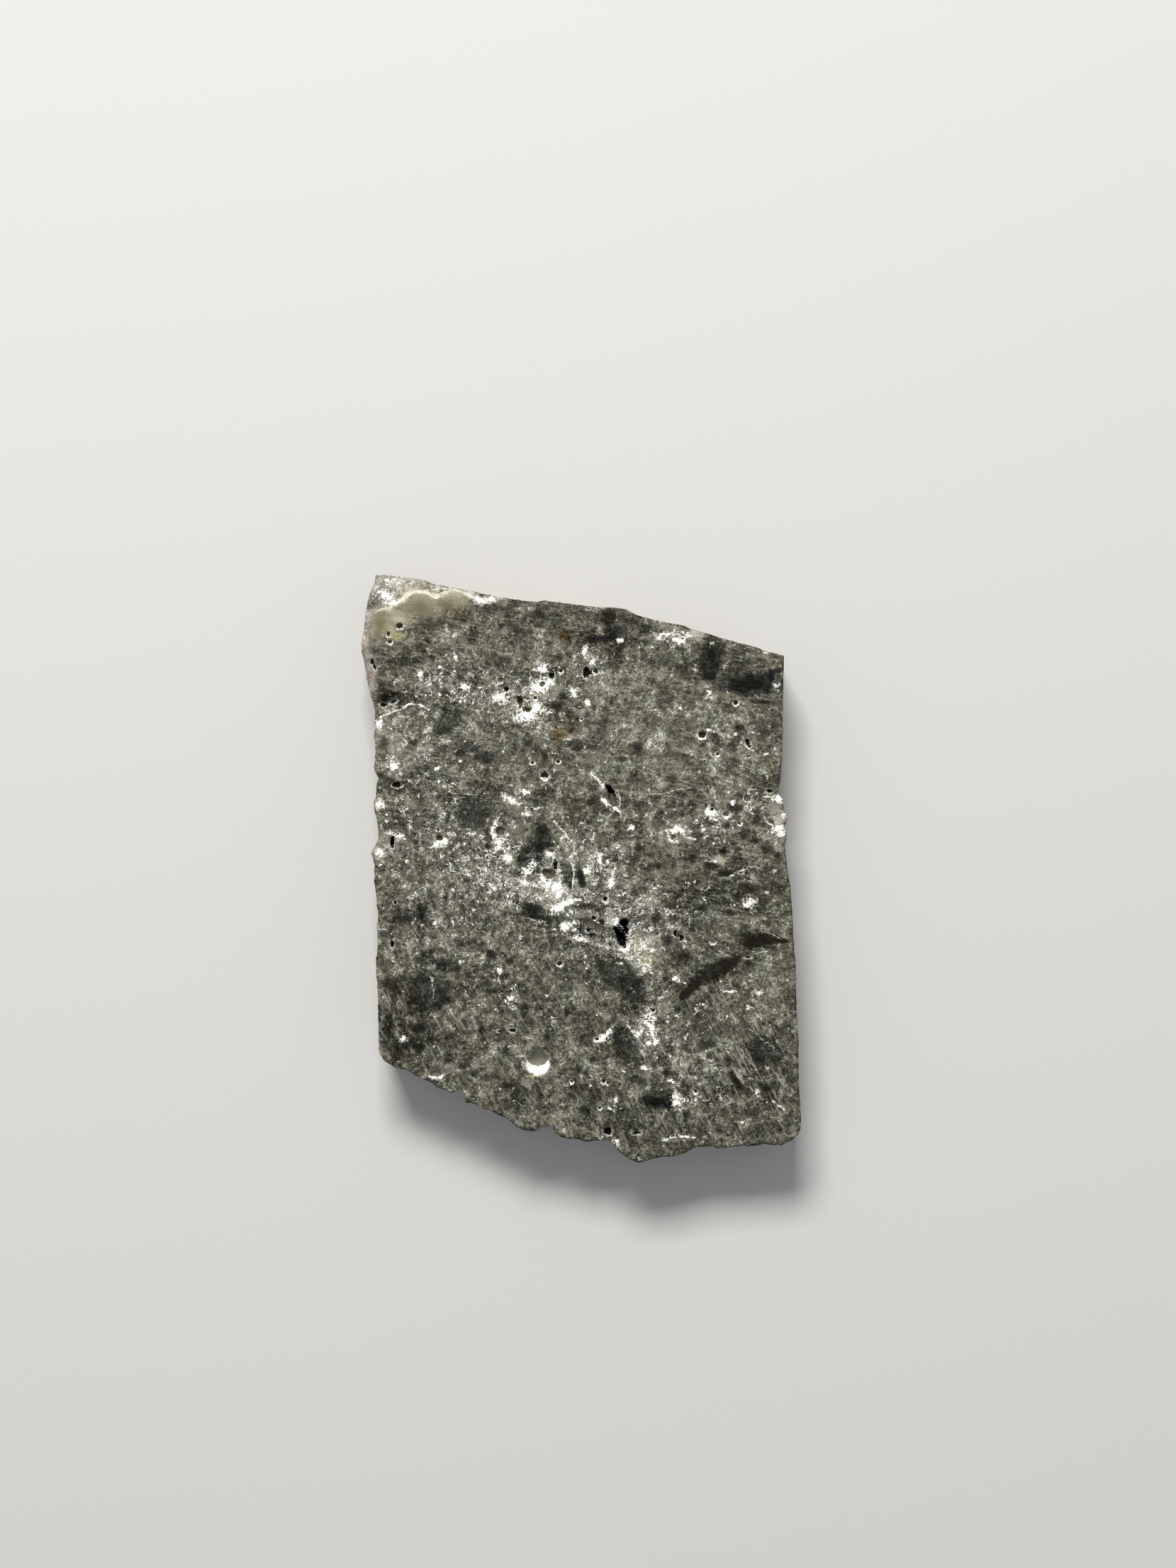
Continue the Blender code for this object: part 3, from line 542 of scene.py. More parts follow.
WHITE_STREAKS = [
    # The first streak is a painted highlight on the lit top edge of the step near y 4.2; the next two are
    # painted highlights along the lip of the chip's cliff.
    (0.04, [(-5.45, 4.1), (-5.2, 4.2), (-4.85, 4.3), (-4.7, 4.45), (-4.35, 4.42), (-4.15, 4.3)]),
    (0.024, [(-4.3, 7.53), (-3.9, 7.58), (-3.6, 7.6), (-3.4, 7.54), (-3.1, 7.46), (-2.9, 7.34)]),
    (0.03, [(-5.55, 6.98), (-5.35, 7.05), (-5.2, 7.02), (-5.08, 7.18), (-4.8, 7.3), (-4.62, 7.46)]),
    (0.05, [(0.27, 2.55), (0.42, 2.42), (0.6, 2.2)]),
    (0.06, [(0.55, 1.88), (0.72, 1.72), (0.88, 1.62), (1.05, 1.5)]),
    (0.024, [(0.98, 2.1), (1.06, 1.85), (1.04, 1.6)]),
    (0.018, [(0, 3.22), (0.12, 3.12), (0.22, 3.2), (0.32, 3.1), (0.42, 3.18)]),
    (0.03, [(4.05, -0.25), (4.2, -0.12), (4.45, -0.05)]),
    (0.018, [(-4.05, -3), (-4.04, -3.2), (-4, -3.35), (-4.02, -3.6)]),
    (0.018, [(-3.5, -1.35), (-3.48, -1.55), (-3.45, -1.7)]),
    (0.018, [(-4.95, 3.7), (-4.85, 3.52), (-4.7, 3.35)]),
    (0.012, [(-3.6, 2.02), (-3.2, 2), (-2.8, 1.97)]),
    (0.012, [(4.9, -1.7), (5.2, -1.82), (5.45, -1.95)]),
    (0.05, [(-2.44, 1.06), (-2.4, 0.88), (-2.29, 0.77), (-2.15, 0.74), (-2.04, 0.82), (-1.99, 0.93)]),
    (0.03, [(-2.62, 0.33), (-2.45, 0.37), (-2.3, 0.46)]),
    (0.018, [(-1.7, 0.69), (-1.58, 0.67), (-1.45, 0.66)]),
    (0.014, [(-1.8, -0.5), (-1.5, -0.51), (-1.2, -0.52)]),
    (0.04, [(-0.75, 1.28), (-0.65, 1.15), (-0.55, 1.04)]),
    (0.024, [(-0.55, 1.04), (-0.42, 0.95), (-0.37, 0.8), (-0.25, 0.72), (-0.2, 0.6), (-0.18, 0.4),
        (-0.08, 0.2)]),
    (0.011, [(-0.45, 1.25), (-0.35, 1.1), (-0.2, 0.95), (-0.1, 0.9)]),
    (0.013, [(-0.25, 0.72), (-0.15, 0.7), (-0.08, 0.85)]),
    (0.012, [(-0.5, 0.78), (-0.45, 0.65), (-0.35, 0.55)]),
    (0.025, [(0.08, 0.75), (0.24, 0.8), (0.3, 0.7)]),
    (0.015, [(0.05, 0.22), (0.15, 0.28), (0.4, 0.28)]),
    (0.015, [(0.15, 0.15), (0.28, 0.16), (0.42, 0.21)]),
    (0.012, [(-0.08, 0.62), (0.1, 0.55), (0.2, 0.4), (0.1, 0.25)]),
    (0.04, [(0.47, 0.38), (0.48, 0.25), (0.55, 0.12), (0.66, 0.04)]),
    (0.028, [(-0.3, 0.2), (-0.23, 0.05), (-0.2, -0.15), (-0.22, -0.35), (-0.25, -0.55),
        (-0.22, -0.65)]),
    (0.018, [(-1, 0.2), (-0.93, 0.06)]),
    (0.065, [(-1.07, -0.22), (-1.03, -0.38), (-0.9, -0.48), (-0.7, -0.49), (-0.55, -0.4)]),
    (0.05, [(-0.6, -0.55), (-0.66, -0.68), (-0.62, -0.8)]),
    (0.026, [(-0.5, -0.58), (-0.4, -0.7), (-0.25, -0.77), (-0.1, -0.85), (0.08, -0.91)]),
    (0.06, [(-0.08, -0.88), (-0.3, -0.86), (-0.42, -0.93), (-0.6, -1.02), (-0.75, -1.1)]),
    (0.016, [(-0.82, -0.1), (-0.72, -0.13), (-0.62, -0.2), (-0.52, -0.33)]),
    (0.028, [(0.57, -0.88), (0.65, -1), (0.76, -0.93)]),
    (0.025, [(0.25, -1.36), (0.33, -1.47), (0.48, -1.5)]),
    (0.011, [(0.45, -1.05), (0.53, -1.15), (0.57, -1.25)]),
    (0.018, [(-1.55, -1.35), (-1.4, -1.38), (-1.25, -1.45), (-1.05, -1.5)]),
    (0.045, [(0.83, -4.33), (0.72, -4.48), (0.64, -4.62)]),
    (0.04, [(1.24, -4.25), (1.35, -4.4), (1.5, -4.58), (1.6, -4.52), (1.66, -4.42), (1.78, -4.36)]),
    (0.035, [(1.85, -4.25), (1.95, -4.45), (2, -4.75)]),
    (0.035, [(1.88, -3.96), (1.95, -4.05), (2.02, -4.12)]),
    (0.025, [(3.02, -4), (3.12, -3.93), (3.22, -3.86)]),
    (0.035, [(4.48, -3.74), (4.58, -3.78), (4.68, -3.82)]),
    (0.014, [(4.6, -3.8), (4.75, -3.98), (4.95, -4.15), (5.25, -4.36)]),
    (0.011, [(4.5, -4.35), (4.75, -4.5), (5, -4.76)]),
    (0.014, [(5.05, -4.7), (5.12, -4.85), (5.24, -4.83), (5.2, -4.98)]),
    (0.018, [(1.65, -4.95), (1.72, -5.15), (1.75, -5.3), (1.68, -5.42)]),
    (0.03, [(0.53, -5.72), (0.6, -5.83), (0.7, -5.9)]),
    (0.04, [(5.2, -6.33), (5.32, -6.43), (5.5, -6.56)]),
    (0.014, [(2.5, -5.15), (2.58, -5.3), (2.66, -5.45)]),
    (0.014, [(1.95, 6.38), (2.05, 6.22), (2.2, 6.2), (2.3, 6.3), (2.5, 6.42), (2.8, 6.4)]),
    (0.04, [(2.02, 6.26), (2.1, 6.19), (2.22, 6.2)]), (0.03, [(4.4, 3.36), (4.5, 3.25), (4.68, 3.17)]),
    (0.011, [(4.38, 3.06), (4.5, 2.97), (4.62, 3)]), (0.02, [(5.24, 5.08), (5.27, 4.92), (5.38, 5)]),
    (0.015, [(4.75, 2.15), (4.55, 2.09), (4.42, 2), (4.38, 1.86), (4.5, 1.76), (4.63, 1.79)]),
    (0.02, [(3.83, 1.56), (3.82, 1.42), (3.91, 1.31), (4.02, 1.38)]),
    (0.04, [(2.8, 0.84), (2.95, 0.8), (3.1, 0.77)]), (0.045, [(2.36, 0.78), (2.5, 0.68), (2.62, 0.7)]),
    (0.04, [(4.95, 1.94), (5.15, 1.92), (5.32, 1.95), (5.46, 1.86)]),
    (0.016, [(4.95, 2.06), (5, 2.15), (5.1, 2.15)]), (0.02, [(4.98, 1.27), (5.08, 1.19), (5.2, 1.14)]),
    (0.012, [(5.22, 1.3), (5.3, 1.22), (5.42, 1.18)]),
    (0.014, [(1.9, 2), (2.2, 2), (2.6, 2.12), (3, 2.16)]),
    (0.012, [(4.45, -2.24), (4.8, -2.3), (5.1, -2.26)]),
]
print(len(WHITE_SPOTS), "white spots and", len(WHITE_STREAKS), "white streaks.")

# %% [markdown]
# ## Dark marks
# Most dark bits are smoky glass that darkens the rock and lets its texture through. Two spots in
# the hollow under the white step line are partly painted shade. A few lenses and one long streak
# are nearly solid black, so they have lists of their own.

# %% Dark marks
DARK_SPOTS = [
    (-4.9, -3, 0.16, 0.1, 20), (-4.45, -4.35, 0.2, 0.12), (-5, -4.75, 0.3, 0.14, 15),
    (-1.95, -2.55, 0.1, 0.07), (-1.55, -3.95, 0.1, 0.1), (-0.95, -4.6, 0.08, 0.1),
    (-4.55, 3.4, 0.13, 0.1), (-1.45, 3.5, 0.15, 0.18), (0.8, 4.5, 0.06, 0.06), (1.2, 4.55, 0.05, 0.05),
    (0.35, 4.35, 0.05, 0.06), (1.8, 3.9, 0.05, 0.05), (3.5, 0.05, 0.18, 0.1), (5.3, 0.35, 0.12, 0.08),
    (3.9, -0.15, 0.2, 0.08, 5), (-5.2, -4.2, 0.12, 0.3), (-3.1, -0.35, 0.1, 0.08),
    (-2.7, -4.4, 0.1, 0.09), (1.4, -5.75, 0.16, 0.1), (-0.2, -4.15, 0.09, 0.08), (4, -1.2, 0.14, 0.08),
    (2.6, -3.85, 0.1, 0.08), (0.1, -6.6, 0.12, 0.14), (-2, -5.9, 0.14, 0.1), (0.75, 6.45, 0.12, 0.14),
    (0.3, 6.12, 0.2, 0.14), (0.65, 6.22, 0.24, 0.12, 10), (1.05, 6.42, 0.14, 0.1),
    (-0.65, 4.35, 0.19, 0.15), (1.55, 3.3, 0.12, 0.2, 10), (1.1, 2.93, 0.14, 0.09),
    (-4.95, 2.25, 0.2, 0.09), (-5.1, 2.33, 0.38, 0.07, -17), (-4.9, -1.3, 0.32, 0.24),
    (-4.35, -1.2, 0.14, 0.2), (-3.85, -2.55, 0.42, 0.09), (-4.2, -2.35, 0.26, 0.1, 30),
    (-2.4, -3.35, 0.18, 0.1), (-2.1, -2.95, 0.12, 0.09), (-1.6, -3.4, 0.1, 0.1),
    (-1.55, -3.8, 0.12, 0.11), (-1.15, -3.8, 0.1, 0.1), (-4.8, -4.8, 0.55, 0.22),
    (-5.05, -3.3, 0.14, 0.28), (2.87, -6.7, 0.13, 0.12), (2.78, -2.5, 0.22, 0.2, 20),
    # The last spot here, at (-5, 4.52) in the hollow under the white step line, is partly dark brown rock
    # and partly painted shade.
    (4.2, -0.75, 0.16, 0.1), (4.6, -0.55, 0.3, 0.14), (3, 0.25, 0.14, 0.1), (-5, 4.52, 0.24, 0.1, 8),
    (2.3, -2, 0.14, 0.16), (2.05, -1.35, 0.14, 0.12), (3.3, -1.1, 0.16, 0.12), (-3.3, 3.1, 0.16, 0.1),
    # The spot at (-5.42, 4.55) lies in the same hollow: partly dark brown rock, partly painted shade.
    (-5.38, 3.38, 0.16, 0.18), (-5.42, 4.55, 0.22, 0.14, -20), (5.02, 0.55, 0.2, 0.16),
    (-5.3, -3.1, 0.12, 0.16), (-3.6, -4.55, 0.14, 0.12), (-2.9, -5.6, 0.12, 0.1),
    (-2.42, -2.35, 0.14, 0.12), (2.05, 0.05, 0.12, 0.1), (1.55, 0.55, 0.1, 0.1),
    (-1.05, 1.05, 0.2, 0.14, -10), (-1.1, 0.62, 0.12, 0.14), (-1.6, 0.25, 0.16, 0.12),
    (-2.52, 0.85, 0.12, 0.24), (-2.5, 0.58, 0.1, 0.06), (-0.3, -0.48, 0.06, 0.12),
    (0.02, -0.32, 0.1, 0.28, 15), (-1.35, -1.1, 0.28, 0.14, -5), (-1.15, -1.35, 0.3, 0.1, -12),
    (-1, -1.6, 0.28, 0.04, -8), (0.15, -1.05, 0.26, 0.09, -5), (0.55, -1.15, 0.13, 0.09),
    (0.55, -1.5, 0.08, 0.16), (0.5, 0.55, 0.06, 0.05), (-0.85, 0.62, 0.16, 0.07, -10),
    (-1.75, -0.15, 0.16, 0.08), (0.2, -1.02, 0.1, 0.04, -10), (3.35, -4.8, 0.24, 0.15),
    (0.3, -5.2, 0.1, 0.08), (4.22, -5.78, 0.4, 0.1, -47), (2, -6.35, 0.36, 0.13, -10),
    (1.62, -5.8, 0.2, 0.12, -15), (2.32, -5.56, 0.15, 0.08), (2.35, -6.42, 0.14, 0.18),
    (5.2, -4.3, 0.2, 0.08, -35), (4.95, -5.95, 0.2, 0.1, -40), (1.92, -3.88, 0.06, 0.05),
    (3.55, 5.88, 0.1, 0.3), (3.5, 5.2, 0.2, 0.12), (4.7, 5.02, 0.5, 0.22, 8),
    (5.2, 5.3, 0.24, 0.08, 20), (4.1, 3.3, 0.16, 0.15), (3.65, 3.52, 0.12, 0.14),
    (3.28, 3.32, 0.1, 0.06), (4.75, 1.3, 0.1, 0.12), (4.45, 0.95, 0.14, 0.13), (3.95, 1.15, 0.14, 0.09),
    (4.2, 1.62, 0.2, 0.1), (3, 2.12, 0.2, 0.05, -10), (4.3, 3.8, 0.14, 0.07), (2.1, 2.52, 0.06, 0.04),
    (4.7, 0.72, 0.14, 0.08), (4.95, 4.5, 0.3, 0.06), (2.9, 4.75, 0.08, 0.07), (3.8, 6, 0.14, 0.1, -20),
]
BLACK_LENS = [
    (0.75, 6.82, 0.21, 0.2), (4.8, -1.98, 0.52, 0.24), (5.35, -1.98, 0.26, 0.06, -6),
    (-4.95, 2.25, 0.1, 0.05), (-3.85, -2.55, 0.26, 0.05), (-0.65, 4.36, 0.12, 0.09),
    (3.58, 5.8, 0.07, 0.18, -8), (4.68, 5.04, 0.3, 0.1, 8), (3.88, 0.46, 0.14, 0.08),
]
DARK_STREAKS = [
    (0.15, [(4.15, -2.52), (3.95, -2.62)]), (0.24, [(3.92, -2.66), (3.55, -2.84), (3.3, -2.98)]),
    (0.17, [(3.3, -3.02), (3.08, -3.15)]), (0.1, [(3.05, -3.18), (2.88, -3.35), (2.75, -3.52)]),
]
print(len(DARK_SPOTS), "dark spots,", len(BLACK_LENS), "black lenses and", len(DARK_STREAKS), "streaks.")

# %% [markdown]
# ## Tinted marks
# Other bits only change the rock's colour: brown, mauve, grey and blue-grey clasts, pale lobed
# clasts with olive cores, yellow grains, rust and pale dust. One yellow spot, just under the big
# bowl, is partly a painted glow.

# %% Tinted marks
BROWN_SPOTS = [
    (-4.4, 5.9, 0.6, 0.4, -8), (-4.25, 6.5, 0.62, 0.4), (-3.45, 6.95, 0.5, 0.28), (0, 1.8, 0.5, 0.52),
    (0.7, 0.72, 0.32, 0.2), (1.75, 0.25, 0.55, 0.45), (-2.75, -2.05, 0.14, 0.1),
    (-2.05, -1.95, 0.3, 0.14), (3.2, -0.3, 0.3, 0.24), (2.6, -0.9, 0.4, 0.28),
    (-3.2, -2.95, 0.22, 0.16),
]
MAUVE_SPOTS = [
    (-5.82, 6.1, 0.16, 0.75), (-5.74, 5.2, 0.16, 0.6, 12), (-5.4, 3.6, 0.22, 0.4),
]
GREY_SPOTS = [
    (5.27, 1.6, 0.2, 0.13), (5.4, 1.3, 0.13, 0.14), (5.36, 1.02, 0.2, 0.12), (0.85, -1.45, 0.13, 0.1),
    (0.55, 2.15, 0.08, 0.05), (3.12, 6.34, 0.2, 0.09, -12), (3.75, 0.22, 0.1, 0.09),
    (-5.56, 0.45, 0.1, 0.14), (-5.5, 1.72, 0.1, 0.16),
]
BLUE_SPOTS = [
    (-2.95, 1.5, 0.48, 0.46), (-3.55, 4.15, 0.27, 0.38, 10), (-0.5, 4.65, 0.12, 0.12),
    (-4.1, -3.4, 0.66, 0.55), (-3.6, -2.7, 0.36, 0.14), (-0.15, 3.35, 0.26, 0.16),
    (-3, 3.25, 0.36, 0.14, -10), (0.95, -2.85, 0.6, 0.38, -25), (1.4, -3.3, 0.4, 0.42),
    (-4.8, 5.6, 0.5, 0.12), (-3.75, 3.8, 0.3, 0.2), (-2.6, 3, 0.3, 0.18), (-1.45, 0.2, 0.36, 0.42),
    (-1.1, 0.8, 0.3, 0.42, 8), (-0.36, -0.15, 0.16, 0.34, 8), (1.22, -4.8, 0.33, 0.6, 20),
    (-1.3, -1.2, 0.4, 0.2, -12), (0.3, -1.62, 0.4, 0.3), (-0.05, -0.2, 0.12, 0.34, 14),
    (4.7, 5, 0.72, 0.34, 5), (3.5, 5.6, 0.3, 0.5), (5, -4.95, 0.55, 0.42, -20),
    (2.05, -6.3, 0.5, 0.25, -8), (-0.75, -1.35, 0.3, 0.2, -10),
]
OLIVE_SPOTS = [
    (-4.38, 7.15, 0.64, 0.38), (-3.5, 7.3, 0.5, 0.25), (-5.4, 6.6, 0.3, 0.42), (-4.92, 6.82, 0.4, 0.26),
]
OLIVE_CORES = [
    (-4.38, 7.02, 0.42, 0.28), (-3.6, 7.16, 0.36, 0.18), (-5.45, 6.6, 0.18, 0.3),
]
YELLOW_SPOTS = [
    (-5.02, 6.28, 0.19, 0.13), (1.56, -2.15, 0.14, 0.18, 20), (1.72, -2.5, 0.16, 0.18),
    # The spot at (-1.18, -5.66), just under the big bowl, is partly the glass's own yellow and partly a
    # painted glow.
    (1.8, -2.76, 0.1, 0.1), (-1.18, -5.66, 0.18, 0.05),
]
RUST_SPOTS = [
    (-0.45, 6.3, 0.27, 0.2), (-0.6, 5.7, 0.12, 0.14), (-0.25, 3.85, 0.11, 0.26, -10),
    (-1, 3.02, 0.09, 0.1), (-0.05, 4.4, 0.14, 0.1), (-0.6, 3.6, 0.22, 0.18), (-5.3, 4.75, 0.22, 0.14),
    (-0.35, 4.15, 0.1, 0.14),
]
PALE_SPOTS = [
    (3.75, 0.22, 0.11, 0.1), (-5.48, 1.72, 0.16, 0.22), (-5.5, 0.5, 0.17, 0.2), (0.1, 5.8, 0.14, 0.18),
    (-1.4, -5.8, 0.3, 0.06), (-5.1, 3.1, 0.22, 0.4), (-0.9, 4.8, 0.45, 0.22, 20),
    (1.7, -2.2, 0.42, 0.5, 10), (0.35, 3, 0.3, 0.18), (-5.2, 0.8, 0.3, 0.24), (-3.9, 0.7, 0.26, 0.26),
    (-1.75, 1.56, 0.36, 0.2, -20), (-1.78, 0.98, 0.34, 0.3), (-1.5, -0.5, 0.4, 0.2),
    (-0.65, -0.85, 0.4, 0.3, -20), (2.55, 0.9, 0.4, 0.28), (2.75, 6.33, 0.5, 0.18, -12),
    (5.3, 1.5, 0.24, 0.4), (-0.3, 0.45, 0.3, 0.4, 10), (0.2, 0.2, 0.26, 0.2), (0.85, -1.3, 0.25, 0.15),
]
print(len(BLUE_SPOTS), "blue-grey spots and", len(PALE_SPOTS), "pale ones, among other tints.")

# %% [markdown]
# ## Zones
# Some things change slowly over the face: how thick the fine white specks lie, where the blade's
# strokes show most, and how light the ground is. Each zone is a soft round hill or hollow: x, y,
# reach across, reach along, amount. The hills of a list are added to its base.

# %% Zones
SPECK_CLOUDS = [
    (1.6, -2.25, 0.42, 0.5, 0.75), (-4.2, 1.6, 1.5, 3, 0.4), (-3.7, 5, 1.5, 1.1, 0.45),
    (-1.4, 4.6, 1.1, 0.9, 0.5), (-0.6, -0.6, 1.9, 1.2, 0.75), (-2.4, 0.3, 1.2, 1.1, 0.45),
    (0.8, -1.9, 1.1, 0.9, 0.45), (3.8, 1.4, 1.2, 0.7, 0.45), (4.4, 3.3, 0.9, 0.7, 0.3),
    (1.7, -3.4, 0.9, 0.9, 0.35), (-1.9, -3.4, 1.5, 1, 0.35), (-4.2, -1.6, 1.2, 1, 0.3),
    (3.1, -5.6, 1.1, 1.2, 0.4), (1.7, -4.6, 0.7, 0.6, 0.5), (2.5, 6.25, 0.9, 0.35, 0.6),
    (0.6, 0.4, 1.2, 0.9, 0.35), (2.6, -1.2, 1.3, 1, 0.35), (4.6, -0.4, 0.8, 0.8, 0.25),
    (0.2, 5.4, 0.8, 0.8, 0.35), (2.8, 3.6, 1.3, 1.3, -0.35), (-4.2, 7, 1.1, 0.3, -0.6),
    (-5.2, 7.7, 0.7, 0.25, 0.6), (5.2, -2.8, 0.7, 0.8, -0.3), (0.2, -3.4, 0.9, 0.7, -0.2),
    (-1.2, 6.6, 1.8, 0.6, -0.1), (-5.2, 6.2, 0.6, 0.8, -0.5),
]
SPECK_BASE = 0.30
# Where the blade's fine strokes show most.
BRUSHED_CLOUDS = [
    (4.7, -5.2, 1.5, 1.7, 0.9), (-4.3, -3.9, 1.2, 1.2, 0.5), (4.6, 0.2, 1.2, 1.6, 0.5),
    (2.2, 1.9, 1.6, 0.7, 0.5), (-4.3, 5.9, 1.2, 0.5, 0.6), (4.6, 4.8, 1, 0.6, 0.3),
    (0.6, -6.7, 2.4, 0.7, 0.5), (-5, -4.2, 0.6, 1.2, 0.4),
]
BRUSHED_BASE = 0.45
# Broad lighter and darker zones, in the same way.
TONE_CLOUDS = [
    (0.6, 6.3, 1.1, 0.7, -0.45), (4.7, 5, 1, 0.55, -0.45), (3.5, 5.7, 0.45, 0.6, -0.45),
    (-4.9, -4.6, 0.8, 0.8, -0.45), (-4.4, -3.8, 0.9, 0.8, -0.18), (-2.4, -3.6, 0.8, 0.7, -0.12),
    (-3.2, -5, 1.2, 0.6, -0.12), (4.8, -5.6, 0.8, 1.2, -0.28), (1.8, -6.4, 1.6, 0.7, -0.25),
    (-1, -5.9, 2.2, 1.2, -0.06), (-4.3, 2.2, 0.6, 0.6, -0.15), (4.4, -4.1, 0.8, 0.5, 0.15),
    (2.5, 3.6, 1.8, 1.8, 0.25), (-1.4, -5.2, 1.6, 0.7, 0.05), (-5, 3.4, 0.6, 0.9, 0.25),
    (-1.5, 3.9, 1.2, 0.9, 0.1), (-3.9, 6.2, 1.4, 0.5, 0.05), (5.1, -3.1, 0.7, 0.9, 0.1),
    (0.6, -3.2, 1.1, 0.8, -0.15), (3.7, -0.6, 1.4, 0.8, -0.35), (-4.6, -1.3, 0.8, 0.6, -0.35),
    (-2, 6.4, 1.4, 0.6, -0.1), (2.2, 0.2, 0.9, 0.6, 0.1), (-1.3, 0.6, 0.7, 0.9, -0.2),
    # The darker zone at (-4.6, 4.6) is partly painted shade in the hollow under the white step line.
    (0.1, -1.5, 0.7, 0.5, -0.25), (3.6, -3, 0.8, 0.5, -0.2), (-4.6, 4.6, 0.9, 0.25, -0.35),
    (-4.9, 2.25, 0.6, 0.2, -0.4), (4.1, 2.5, 1.2, 0.8, 0.05),
]
print(len(SPECK_CLOUDS), "zones of specks,", len(BRUSHED_CLOUDS), "brushed,", len(TONE_CLOUDS), "of tone.")

# %% [markdown]
# ## From marks to numbers
# A tint becomes one number per grid point: 1 in the middle of a mark, 0 on its outline, less
# outside. The shader adds noise to it before it cuts it off, so the outline is ragged. Pits, white
# bits and dark bits must be sharper than the grid, so for them each point carries the place within
# its nearest mark instead, and the shader works out the outline from that.

# %% Nearest marks
LIMBO = 5.0                     # a place far outside every mark
FAR_OFF = 0.17                  # millimetres from an outline where a mark's reach ends
NEAR_BY = 0.05                  # and where it ends between two marks


def spots(marks):
    """1 in the middle of the nearest ellipse, 0 on its outline, down to -1 away from all."""
    best = np.full(len(X), -1.0)
    for mark in marks:
        best = np.maximum(best, 1.0 - np.hypot(*inside_ellipse(flat_places, mark)))
    return best


def inside_streak(places, half_width, points):
    """The way from the nearest point of a line, in units of the line's half width."""
    best = np.full((len(places), 2), 99.0)
    for (x0, y0), (x1, y1) in zip(points[:-1], points[1:]):
        run = np.array([x1 - x0, y1 - y0])
        off = places[:, :2] - (x0, y0)
        share = np.clip(off @ run / (run @ run), 0.0, 1.0)
        off = (off - share[:, None] * run) / half_width
        closer = np.hypot(*off.T) < np.hypot(*best.T)
        best = np.where(closer[:, None], off, best)
    return best.T


def crisp(marks):
    """For each grid point, the place within its nearest mark, and that mark's number.

    The nearest mark is the one with the least (out - 1) x size, the way to its outline. A place
    within a mark is blended between grid points without any error, so the shader can draw an
    outline far finer than the grid. The third number is 0 near a mark. It is large where
    neighbours belong to different marks, so that no blend of the two crosses a middle."""
    nearest = np.full(len(X), 99.0)
    local = np.zeros((len(X), 3))
    number = np.zeros(len(X), int)
    for count, mark in enumerate(marks):
        if isinstance(mark[1], list):
            size = mark[0]
            across, along = inside_streak(flat_places, *mark)
        else:
            size = min(mark[2], mark[3])
            across, along = inside_ellipse(flat_places, mark)
        away = (np.hypot(across, along) - 1.0) * size
        closer = away < nearest
        nearest = np.where(closer, away, nearest)
        number = np.where(closer, count, number)
        local[closer, 0], local[closer, 1] = across[closer], along[closer]
    grid = number.reshape(ALONG + 1, ACROSS + 1)
    border = np.zeros(grid.shape, bool)
    for up, side in ((0, 1), (1, 0), (1, 1), (1, -1)):
        border |= np.roll(grid, (up, side), (0, 1)) != grid
        border |= np.roll(grid, (-up, -side), (0, 1)) != grid
    beyond = (nearest > FAR_OFF) | (border.ravel() & (nearest > NEAR_BY))
    local[:, 2] = np.where(beyond, LIMBO, 0.0)
    return local, number


def clouds(marks):
    """A sum of soft round hills: each falls off as a bell curve of its two reaches."""
    total = np.zeros(len(X))
    for x0, y0, reach_x, reach_y, amount in marks:
        total += amount * np.exp(-(((X - x0) / reach_x) ** 2) - ((Y - y0) / reach_y) ** 2)
    return total


pit_local, pit_number = crisp(all_pits)
white_local, white_number = crisp(WHITE_SPOTS + WHITE_STREAKS)
dark_local, dark_number = crisp(DARK_SPOTS + BLACK_LENS + DARK_STREAKS)
print("Each grid point knows its nearest pit, its nearest white mark and its nearest dark mark.")

# %% [markdown]
# ## Every mark as a number
# Thin white marks are fainter than thick ones, and black glass covers more than smoky glass. The
# pale lobed clasts have a light border on their upper side only, a little inside their outline.

# %% Numbers of the face
STRENGTH = (0.45, 5.0, 0.92)    # of a white mark: its least, its gain per millimetre, its most
GLASS_COVER = (0.0, 0.98, 0.80)     # of dark spots, black lenses and dark streaks
BORDER_INSIDE = 0.12            # where the border runs, in the number of a lobed clast
BORDER_REACH = 0.13
BORDER_LEFT_END = (-4.4, 7.20)  # the border is kept above a line through this point
BORDER_SLOPE = 0.12
# The painted highlight along the chip's ridge shows only above these heights, on the upper part of the
# chip.
RIDGE_HIGHLIGHT_FROM, RIDGE_HIGHLIGHT_FULL = 6.8, 7.15


def border_of_lobes(lobes):
    """1 along the upper border of the lobed clasts, 0 at its sides, -1 elsewhere."""
    above = Y - BORDER_LEFT_END[1] - BORDER_SLOPE * (X - BORDER_LEFT_END[0])
    upper_side = smooth_step(above, -0.10, 0.12)
    border = upper_side * (2.0 - np.abs(lobes - BORDER_INSIDE) / BORDER_REACH) - 1.0
    return np.clip(border, -1.0, 1.0)


